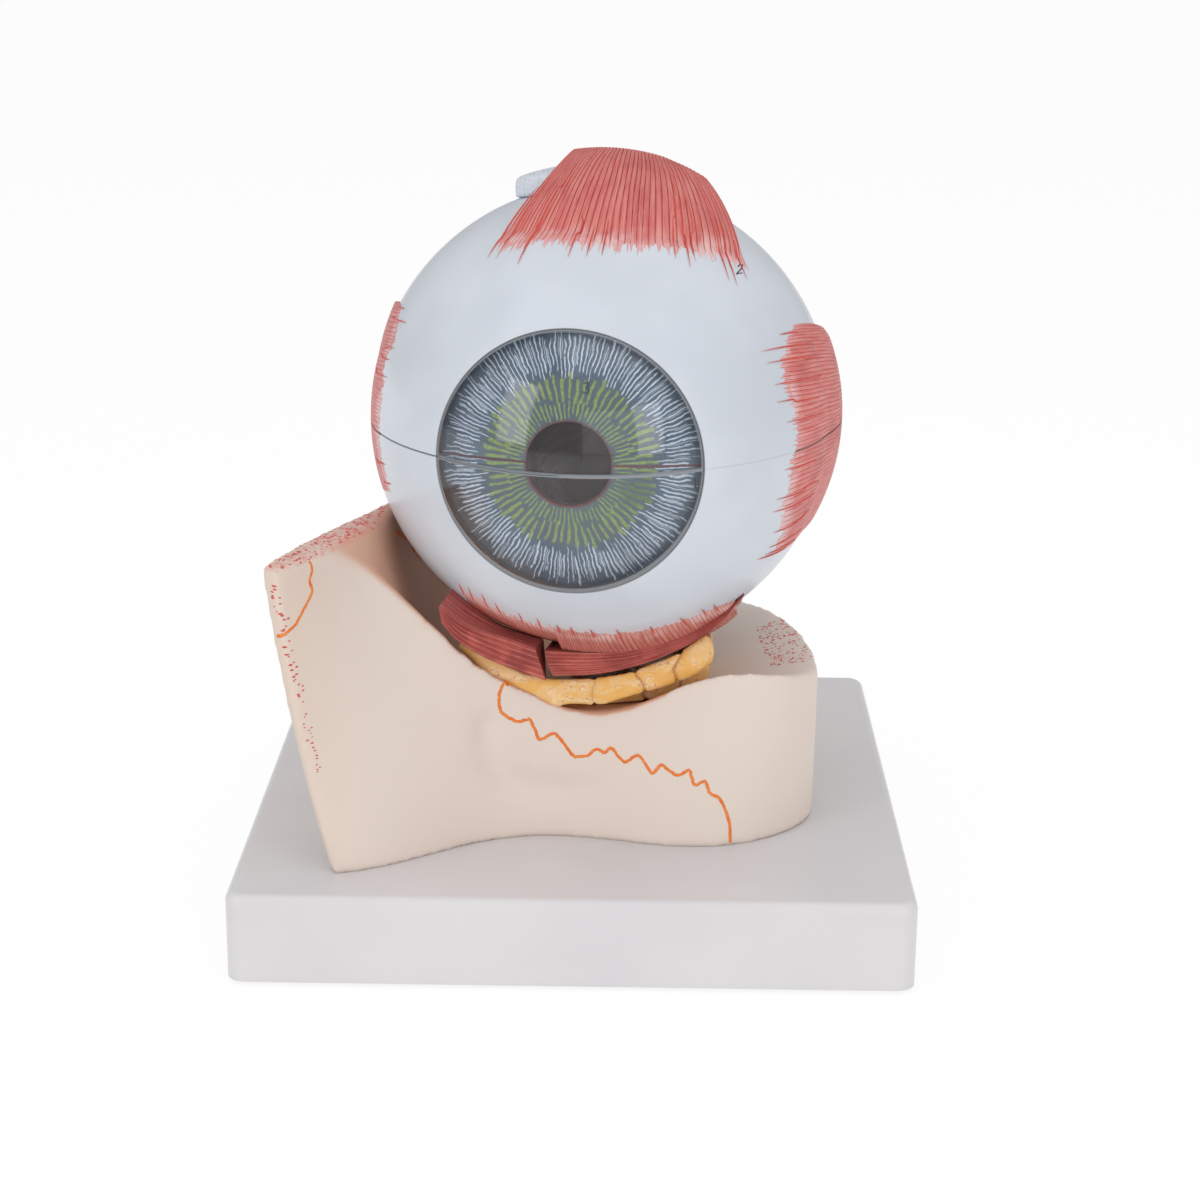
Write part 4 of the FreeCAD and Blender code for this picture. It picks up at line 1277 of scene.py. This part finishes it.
def addStump(name, stump, material):
    columns, rows = stump["columns"], stump["rows"]
    fronts = lineAcross(stump, "front", columns)
    backs = lineAcross(stump, "back", columns)
    radius = eye["scleraRadius"]
    width = sum((b - a).length for a, b in zip(fronts, fronts[1:])) * radius
    spikes = makeSpikes(stump, width)
    setBack = stump["spikes"][2]
    top = []
    under = []
    uv = []
    for column in range(columns + 1):
        share = column / columns
        span = (fronts[column] - backs[column]).length * radius
        out = (spikeAt(spikes, share * width) - setBack) / span
        for row in range(rows + 1):
            depth = (row / rows) ** 1.3
            place = depth - out * max(0, 1 - depth / 0.25)
            direction = directionAt(stump, fronts, backs, column, place)
            height = swellHeight(stump, direction, place * span, share)
            sway = noise.noise(Vector((share * width * 0.12, depth * span * 0.05, stump["seed"]))) * 0.45
            ribs = share * stump["ridges"] + sway * min(1, 8 * share * (1 - share))
            groove = abs(2 * (ribs % 1) - 1) ** 5
            ridge = stump["ridge"] * (1 - groove) * min(1, height / 1.5)
            side = min(1, min(share, 1 - share) * width / 1.2) ** 0.5
            end = min(1, (1 - depth) * span / 1.5) ** 0.5
            edge = row in (0, rows) or column in (0, columns)
            rise = -0.06 if edge else 0.09 + (height + ridge) * side * end
            top.append(eyeToRow(*(direction * (radius + rise))))
            under.append(eyeToRow(*(direction * (radius - 0.06))))
            uv.append((ribs, place * span))
    faces = []
    count = len(top)
    for column in range(columns):
        for row in range(rows):
            first = column * (rows + 1) + row
            quad = (first, first + 1, first + rows + 2, first + rows + 1)
            faces.append(quad)
            faces.append(tuple(index + count for index in reversed(quad)))
    return newPiece(name, top + under, faces, material, 50, uv + uv)


def pointOn(stump, lines, share, depth, lift):
    # a point on a stump's back, or on the white in front of it where the depth in mm is negative
    fronts, backs = lines
    index = max(0, min(100, round(share * 100)))
    span = (fronts[index] - backs[index]).length * eye["scleraRadius"]
    direction = directionAt(stump, fronts, backs, index, depth / span)
    height = swellHeight(stump, direction, depth, share)
    return direction * (eye["scleraRadius"] + height + lift)


def vesselsOf(stump):
    # each runs straight, with a small jog here and there, and thins towards its tip on the white
    rng = random.Random(stump["seed"] + 1)
    across = (lineAcross(stump, "front", 100), lineAcross(stump, "back", 100))
    lines = []
    for share, out, back in stump["vessels"]:
        girth = rng.uniform(0.19, 0.25)
        drift = share
        line = []
        steps = 20
        for step in range(steps + 1):
            depth = (back + out) * step / steps - out
            if depth > 2 and rng.random() < 0.25:
                drift += rng.uniform(-0.01, 0.01)
            thick = girth * min(1, (step + 1.5) / 9) * min(1, (steps - step) / 8 + 0.3)
            lift = 0.1 + stump["ridge"] * 0.8 - thick * 0.3
            place = pointOn(stump, across, clamp(drift), depth, lift)
            line.append((eyeToRow(*place), thick * mm))
        lines.append(line)
    return lines


def addMuscle(name, stump, body, *nodes, side=None, colour="red"):
    piece = addStump(name, stump, musclePaint[colour])
    lines = vesselsOf(stump)
    if side:
        cutAtParting(piece, side)
        sign = signOf(side)
        lines = [line for line in lines if min((p.z - eyeCentre.z) * sign for p, _ in line) > 0.3 * mm]
    install(piece, body, "muscle", *nodes)
    install(strokes(name + "_vessels", lines, vesselPaint), body, "muscle")


addMuscle("superior_muscle", superior, "upper_shell", "superior_rectus")
for key, stump, colour in (("lateral", lateral, "warm"), ("medial", medial, "rose")):
    for side in ("upper", "lower"):
        node = f"{key}_rectus_{side}"
        addMuscle(f"{key}_muscle_{side}", stump, side + "_shell", node, side=side, colour=colour)
addMuscle("inferior_muscle", inferior, "lower_shell", "inferior_rectus", colour="comb")
addMuscle("inferior_fringe", fringe, "lower_shell", colour="comb")
print("muscles ready")

# tendon, lower oblique muscle and fat

def tendonWhite():
    paint = Paint("tendon_white")
    place = paint.inMm()
    dots = paint.cells(place, 0.8, 0.25)
    drift = paint.cloud(place, 0.1, 2)
    colour = paint.blend(drift, tone(224, 229, 239), tone(212, 218, 228))
    colour = paint.blend(dots.step(0.4, 0.2) * 0.4, colour, tone(168, 174, 186))
    bump = paint.relief(dots, 0.0003, 0.5)
    return paint.finish(BaseColor=colour, Roughness=drift * 0.1 + 0.36, Normal=bump)


tendon = castCopy("superior_oblique", "tendon_stub", 0.6, 40)
tendon.data.materials.append(tendonWhite())
install(tendon, "upper_shell", "tendon", "superior_oblique")

oblique = {
    # the band's red tones are darkened a little as painted shade, for the shade it lies in under the globe
    "light": tone(179, 76, 64),
    "dark": tone(147, 48, 42),
    "groove": tone(112, 32, 30),
    "streak": tone(218, 138, 122),
    "cut": tone(172, 98, 94),
    "topBack": [(-33.2, -41, 93.9), (-27, -40.5, 88.3), (-20, -39.5, 83.1), (-9.2, -39.5, 79.5)],
    "crease": [(-36.6, -46.5, 90.6), (-28.3, -46.5, 85), (-17.6, -46.5, 81.6), (-10.9, -46.5, 79.1)],
    "foot": [(-35.9, -46.2, 85.6), (-31.4, -46.4, 80.4), (-22, -46.5, 74.8), (-8, -46.5, 69.8)],
    "rearFoot": [(-34.8, -32, 85.6), (-30.4, -32, 80.6), (-21.4, -32, 76), (-8.6, -32, 71)],
    "rearTop": [(-33.2, -32, 90), (-27.4, -32, 85.4), (-20, -32, 80.7), (-9.2, -32, 77)],
}


def obliqueRed():
    # painted fibres run along the band; the side that faces up is duller
    paint = Paint("oblique_red")
    uv = paint.add("ShaderNodeUVMap", {"uv_map": "fibre"})
    across, along, _ = paint.split(uv)
    mottle = paint.cloud(paint.inMm(), 0.18, 3)
    fibre = paint.cloud(paint.join(across * 2.2, along * 0.07, 0.0), 1.0, 4)
    fine = paint.cloud(paint.join(across * 6, along * 0.16, 4.0), 1.0, 3)
    line = abs((across + (fibre - 0.5) * 0.9).apply("FRACT") - 0.5).step(0.36, 0.48)
    colour = paint.patchy(mottle, oblique["dark"], oblique["light"])
    lit = abs((across + (fibre - 0.5) * 0.7 + 0.5).apply("FRACT") - 0.5).step(0.33, 0.46)
    colour = paint.blend(lit * fine.step(0.62, 0.4) * 0.6, colour, oblique["streak"])
    top = paint.marked("top")
    colour = paint.blend(top * 0.85, colour, oblique["cut"])
    colour = paint.blend(line * fine.step(0.35, 0.6) * 0.7, colour, oblique["groove"])
    bump = paint.relief(fibre + fine * 0.4, 0.00025, 0.5)
    return paint.finish(BaseColor=colour, Roughness=mottle * 0.15 + 0.36, Normal=bump, CoatWeight=0.12)


def loft(name, rails, material, columns, across, ribs, relief):
    # a bar with a side between each rail and the next, in mm, its corners a little eased
    lines = [smoothLine(rail, columns) for rail in rails]
    middle = [sum((line[column] for line in lines), Vector()) / len(lines) for column in range(columns + 1)]
    along = [0.0]
    for a, b in zip(middle, middle[1:]):
        along.append(along[-1] + (b - a).length)
    vertices = []
    uv = []
    for column in range(columns + 1):
        for side in range(len(lines)):
            one, two = lines[side][column], lines[(side + 1) % len(lines)][column]
            for step in range(across):
                share = 0.05 + 0.9 * step / (across - 1)
                place = one + (two - one) * share
                lane = side * ribs + share * ribs
                grain = noise.noise(Vector((lane * 1.7, along[column] * 0.07, 5))) * 0.5
                grain += abs(2 * (lane % 1) - 1) ** 4 * 0.5
                inward = (middle[column] - place).normalized() * relief * grain
                vertices.append((place + inward * (0 if column in (0, columns) else 1)) * mm)
                uv.append((lane, along[column]))
    row = across * len(lines)
    faces = []
    for column in range(columns):
        one, two = column * row, (column + 1) * row
        for step in range(row):
            after = (step + 1) % row
            faces.append((one + step, one + after, two + after, two + step))
    faces += [tuple(range(row)), tuple(columns * row + step for step in reversed(range(row)))]
    piece = newPiece(name, vertices, faces, material, 28, uv)
    top = piece.data.attributes.new("top", "FLOAT", "POINT")
    for vertex, normal in zip(piece.data.vertices, piece.data.vertex_normals):
        top.data[vertex.index].value = ramp(normal.vector.z, 0.4, 0.65)
    return piece


obliquePaint = obliqueRed()
rails = [oblique[key] for key in ("crease", "foot", "rearFoot", "rearTop", "topBack")]
install(loft("oblique_band", rails, obliquePaint, 70, 14, 5, 0.4), "root", "muscle", "inferior_oblique")

obliqueEnd = {
    "top": [(-10.3, -29.5, -58), (3, -27.8, -58.3), (16, -25.6, -57), (28.6, -23.5, -52.4),
            (36.5, -22, -47.2), (42, -19.9, -42)],
    "middle": [(-9.3, -30.3, -62.2), (3.6, -28.4, -61.8), (16, -26.4, -59.6), (28.4, -24.2, -54.4),
               (36.3, -22.6, -48.6), (42, -19.9, -42.3)],
    "bottom": [(-8, -29.2, -65.4), (4, -27.4, -64.6), (16, -25.7, -61.5), (28.1, -23.7, -55.9),
               (36, -22.4, -49.8), (42, -19.6, -42.5)],
    "depth": 21.0,
    "swell": (-9.0, -8.0, 64.7),
}


def addObliqueEnd():
    edges = ("top", "middle", "bottom")
    front = {key: [Vector(eyeToRow(*p)) / mm for p in obliqueEnd[key]] for key in edges}
    centre = eyeCentre / mm
    out, down, swell = obliqueEnd["swell"]
    low = []
    high = []
    for place in front["bottom"]:
        back = place.y + obliqueEnd["depth"]
        x, y = place.x - centre.x, back - centre.y
        white = math.sqrt((eye["scleraRadius"] + 0.1) ** 2 - x * x - y * y)
        under = max(white + 0.1, math.sqrt(swell ** 2 - (x - out) ** 2 - y * y) - down)
        low.append(Vector((place.x, back, centre.z - under)))
        high.append(Vector((place.x, back, centre.z - white)))
    rails = [front["top"], front["middle"], front["bottom"], low, high]
    piece = loft("oblique_end_band", rails, obliquePaint, 90, 17, 4, 0.25)
    install(piece, "lower_shell", "muscle", "inferior_oblique_end")


addObliqueEnd()

fat = {
    "light": tone(246, 210, 156),
    "dark": tone(238, 190, 122),
    "patch": tone(238, 176, 78),
    "groove": tone(186, 108, 50),
    "grooves": [(5.5, 0.8), (17.6, 1.0), (28.0, 1.0)],
    "voxel": 0.6,
    "lobule": 0.8,
    "lip": 0.9,
}


def fatYellow():
    paint = Paint("fat_yellow")
    place = paint.inMm()
    mottle = paint.cloud(place, 0.28, 4)
    fine = paint.cloud(place, 1.2, 3)
    patches = paint.cloud(paint.stretch(place, (0.8, 1, 1.5)), 0.2, 3)
    colour = paint.patchy(mottle, fat["dark"], fat["light"])
    colour = paint.blend(patches.step(0.47, 0.56) * 0.75, colour, fat["patch"])
    rim = abs(patches - 0.47).step(0.016, 0.004) * mottle.step(0.4, 0.55)
    colour = paint.blend(rim * 0.6, colour, fat["groove"])
    groove = paint.marked("groove")
    colour = paint.blend((groove + (mottle - 0.5) * 0.4).step(0.35, 0.95) * 0.7, colour, fat["groove"])
    bump = paint.relief(fine, 0.0001, 0.4)
    return paint.finish(BaseColor=colour, Roughness=fine * 0.15 + 0.36, Normal=bump, CoatWeight=0.15)


def addFat():
    piece = castCopy("orbital_fat_pad", "fat_lobules", fat["voxel"], 6)
    mesh = piece.data
    normals = [normal.vector.copy() for normal in mesh.vertex_normals]
    groove = mesh.attributes.new("groove", "FLOAT", "POINT")
    for vertex, normal in zip(mesh.vertices, normals):
        place = vertex.co / mm
        sway = noise.noise(Vector((place.x * 0.05, place.y * 0.12, place.z * 0.16))) * 3.2
        valley = max(deep * math.exp(-((place.x + sway - cut) / 0.6) ** 2) for cut, deep in fat["grooves"])
        pillow = noise.noise(Vector((place.x * 0.11, place.y * 0.1, place.z * 0.16 + 4)))
        vertex.co -= normal * (valley * 1.1 - pillow * 0.7) * fat["lobule"] * mm
        ahead = ramp(place.y, -38, -41)
        lip = ramp(normal.z, 0.1, 0.7) - ramp(normal.z, -0.1, -0.6)
        vertex.co.z += ahead * lip * fat["lip"] * mm
        groove.data[vertex.index].value = min(1, valley + max(0, -pillow - 0.25) * 1.2)
    mesh.materials.append(fatYellow())
    install(piece, "root", "fat", "orbital_fat_pad")


addFat()
print("soft parts ready")

# optic nerve

nerve = {
    "leave": math.radians(15.8),
    "turn": math.radians(22),
    "start": 58.0,
    "length": 34.0,
    "radius": (9.5, 8.5),
    "profile": [(1.0, 2.6), (1.0, 32.6), (0.97, 33.6), (0.93, 34.0), (0.84, 34.0), (0.81, 33.7),
                (0.79, 32.6), (0.76, 32.5), (0.74, 33.6), (0.71, 33.9), (0.5, 34.1), (0.34, 34.0),
                (0.3, 33.7), (0.27, 33.75), (0.0, 33.85)],
}


def nerveCream():
    paint = Paint("nerve_cream")
    y = paint.split(paint.inEye())[1]
    place = paint.inMm()
    fibre = paint.cloud(paint.stretch(place, (1.6, 0.12, 1.6)), 1.0, 4)
    mottle = paint.cloud(place, 0.3, 3)
    colour = paint.patchy(fibre, tone(232, 214, 186), tone(216, 192, 158))
    tip = y.step(88.6, 89.6)
    colour = paint.blend(tip * mottle.step(0.3, 0.6) * 0.7, colour, tone(226, 176, 112))
    bump = paint.relief(fibre, 0.0002, 0.4)
    return paint.finish(BaseColor=colour, Roughness=mottle * 0.15 + 0.4, Normal=bump)


def nerveFrame():
    base = Vector((-math.sin(nerve["leave"]), math.cos(nerve["leave"]), 0)) * nerve["start"]
    along = Vector((-math.sin(nerve["turn"]), math.cos(nerve["turn"]), 0))
    return base, along, along.cross(Vector((0, 0, 1)))


def addNerve(side, body, material):
    base, along, across = nerveFrame()
    vertices = []
    turns = 96
    first, last = nerve["radius"]
    for turn in range(turns):
        angle = 2 * math.pi * turn / turns
        out = across * math.cos(angle) + Vector((0, 0, 1)) * math.sin(angle)
        for share, place in [(0.0, nerve["profile"][0][1])] + nerve["profile"]:
            radius = first + (last - first) * place / nerve["length"]
            vertices.append(eyeToRow(*(base + along * place + out * radius * share)))
    faces = turnFaces(turns, len(nerve["profile"]) + 1)
    piece = newPiece("optic_nerve_stub_" + side, vertices, faces, material)
    cutAtParting(piece, side)
    install(piece, body, "nerve", "optic_nerve_" + side)


creamPaint = nerveCream()
for side in ("lower", "upper"):
    addNerve(side, side + "_shell", creamPaint)

# vessels on the coats

veinPaint = mottled("vein_blue", tone(58, 78, 142), tone(84, 104, 164), 0.5, (0.15, 0.34), (0.00003, 0.4))


coatVessels = {
    "retina": (62, 0.55),
    "retinaLift": -0.35,
    "vortex": (30, 0.5),
    "vortexLift": -0.45,
    "vortexSpots": ((0.75, 0.35, 0.5), (-0.7, 0.4, 0.5)),
    "turn": 0.32,
    "stride": 1.6,
    "forks": 0.17,
}


def wander(start, heading, reach, length, girth, rng, sign, lines, lift, depth=0):
    # a vessel that wanders over a ball and forks
    place = start.normalized()
    line = []
    stride = coatVessels["stride"]
    steps = max(6, int(length / stride))
    for step in range(steps + 1):
        thick = girth * (1 - 0.65 * step / steps)
        if place.z * sign * reach < 0.6 or place.y < -0.62:
            break
        line.append((eyeToRow(*(place * (reach + lift * thick))), thick * mm))
        heading = (heading - place * heading.dot(place)).normalized()
        side = place.cross(heading)
        heading = (heading + side * rng.uniform(-coatVessels["turn"], coatVessels["turn"])).normalized()
        place = (place + heading * stride / reach).normalized()
        if depth < 3 and step > 2 and rng.random() < coatVessels["forks"]:
            fork = heading + side * rng.choice((-1, 1)) * rng.uniform(0.6, 1.0)
            wander(place, fork, reach, length * 0.55, thick * 0.75, rng, sign, lines, lift, depth + 1)
    if len(line) > 3:
        lines.append(line)


def addCoatVessels(side, body):
    rng = random.Random(71 if side == "upper" else 72)
    sign = signOf(side)
    disc = Vector((-math.sin(nerve["leave"]), math.cos(nerve["leave"]), 0))
    lining = eye["choroidRadius"] - eye["choroidWall"]
    for colour, material, turn in (("red", vesselPaint, 0.0), ("blue", veinPaint, 0.24)):
        lines = []
        for step in range(4):
            angle = 0.45 + turn + step * 0.72
            heading = Vector((math.cos(angle), 0, sign * math.sin(angle)))
            start = disc + heading * 0.05 + Vector((0, 0, sign * 0.012))
            size = coatVessels["retina"]
            wander(start, heading, lining, *size, rng, sign, lines, coatVessels["retinaLift"])
        install(strokes(f"{side}_retina_{colour}", lines, material), body, "choroid")
        lines = []
        for spot in coatVessels["vortexSpots"]:
            start = Vector((spot[0], spot[1], sign * spot[2]))
            for step in range(7):
                angle = turn + step * 0.9
                heading = Vector((math.cos(angle), math.sin(angle), sign * 0.3))
                size = coatVessels["vortex"]
                lift = coatVessels["vortexLift"]
                wander(start, heading, eye["choroidRadius"], *size, rng, sign, lines, lift, 1)
        install(strokes(f"{side}_vortex_{colour}", lines, material), body, "choroid")


for side in ("lower", "upper"):
    addCoatVessels(side, side + "_coat")

# pen marks: plain figures only

marks = {
    "two": [(-1.0, 0.9), (-0.6, 1.4), (0.2, 1.5), (0.8, 1.0), (0.5, 0.1), (-0.5, -0.9), (-1.0, -1.5),
            (-0.3, -1.3), (0.5, -1.5), (1.2, -1.5)],
    "three": [(-0.8, 1.2), (0, 1.5), (0.7, 1.0), (0.4, 0.4), (-0.1, 0.1), (0.7, -0.2), (0.8, -0.9),
              (0.1, -1.4), (-0.8, -1.3), (-1.0, -0.8)],
    "one": [(-0.6, 0.9), (0.2, 1.4), (0.1, 0), (0.1, -1.4)],
    "girth": 0.19,
}


def mark(name, figure, x, z, height, surface, body):
    # writes a figure on the front of a piece, at a place given across and up in the eye frame
    line = []
    tree = treeOf(surface)
    forward = gazeRotation @ Vector((0, 1, 0))
    for p in smoothLine([(a, b, 0) for a, b in marks[figure]], 40):
        start = eyeToRow(x + p.x * height / 3, -90, z + p.y * height / 3)
        hit, normal = tree.ray_cast(start, forward)[:2]
        if hit:
            girth = marks["girth"] * mm
            line.append((hit - normal.normalized() * girth * 0.35, girth))
    install(strokes(name, [line], inkPaint), body, "sclera")


inkPaint = mottled("pen_ink", tone(34, 34, 44), tone(56, 56, 70), 0.9, (0.1, 0.4), (0.00002, 0.3),
                   soft=False)
mark("mark_two", "two", 38.6, 45.0, 1.7, upperSclera, "upper_shell")
mark("mark_three", "three", 4.1, 19.2, 2.6, upperIris, "upper_coat")
mark("mark_one", "one", 31.0, -4.6, 2.4, lowerIris, "lower_coat")
print("marks ready")
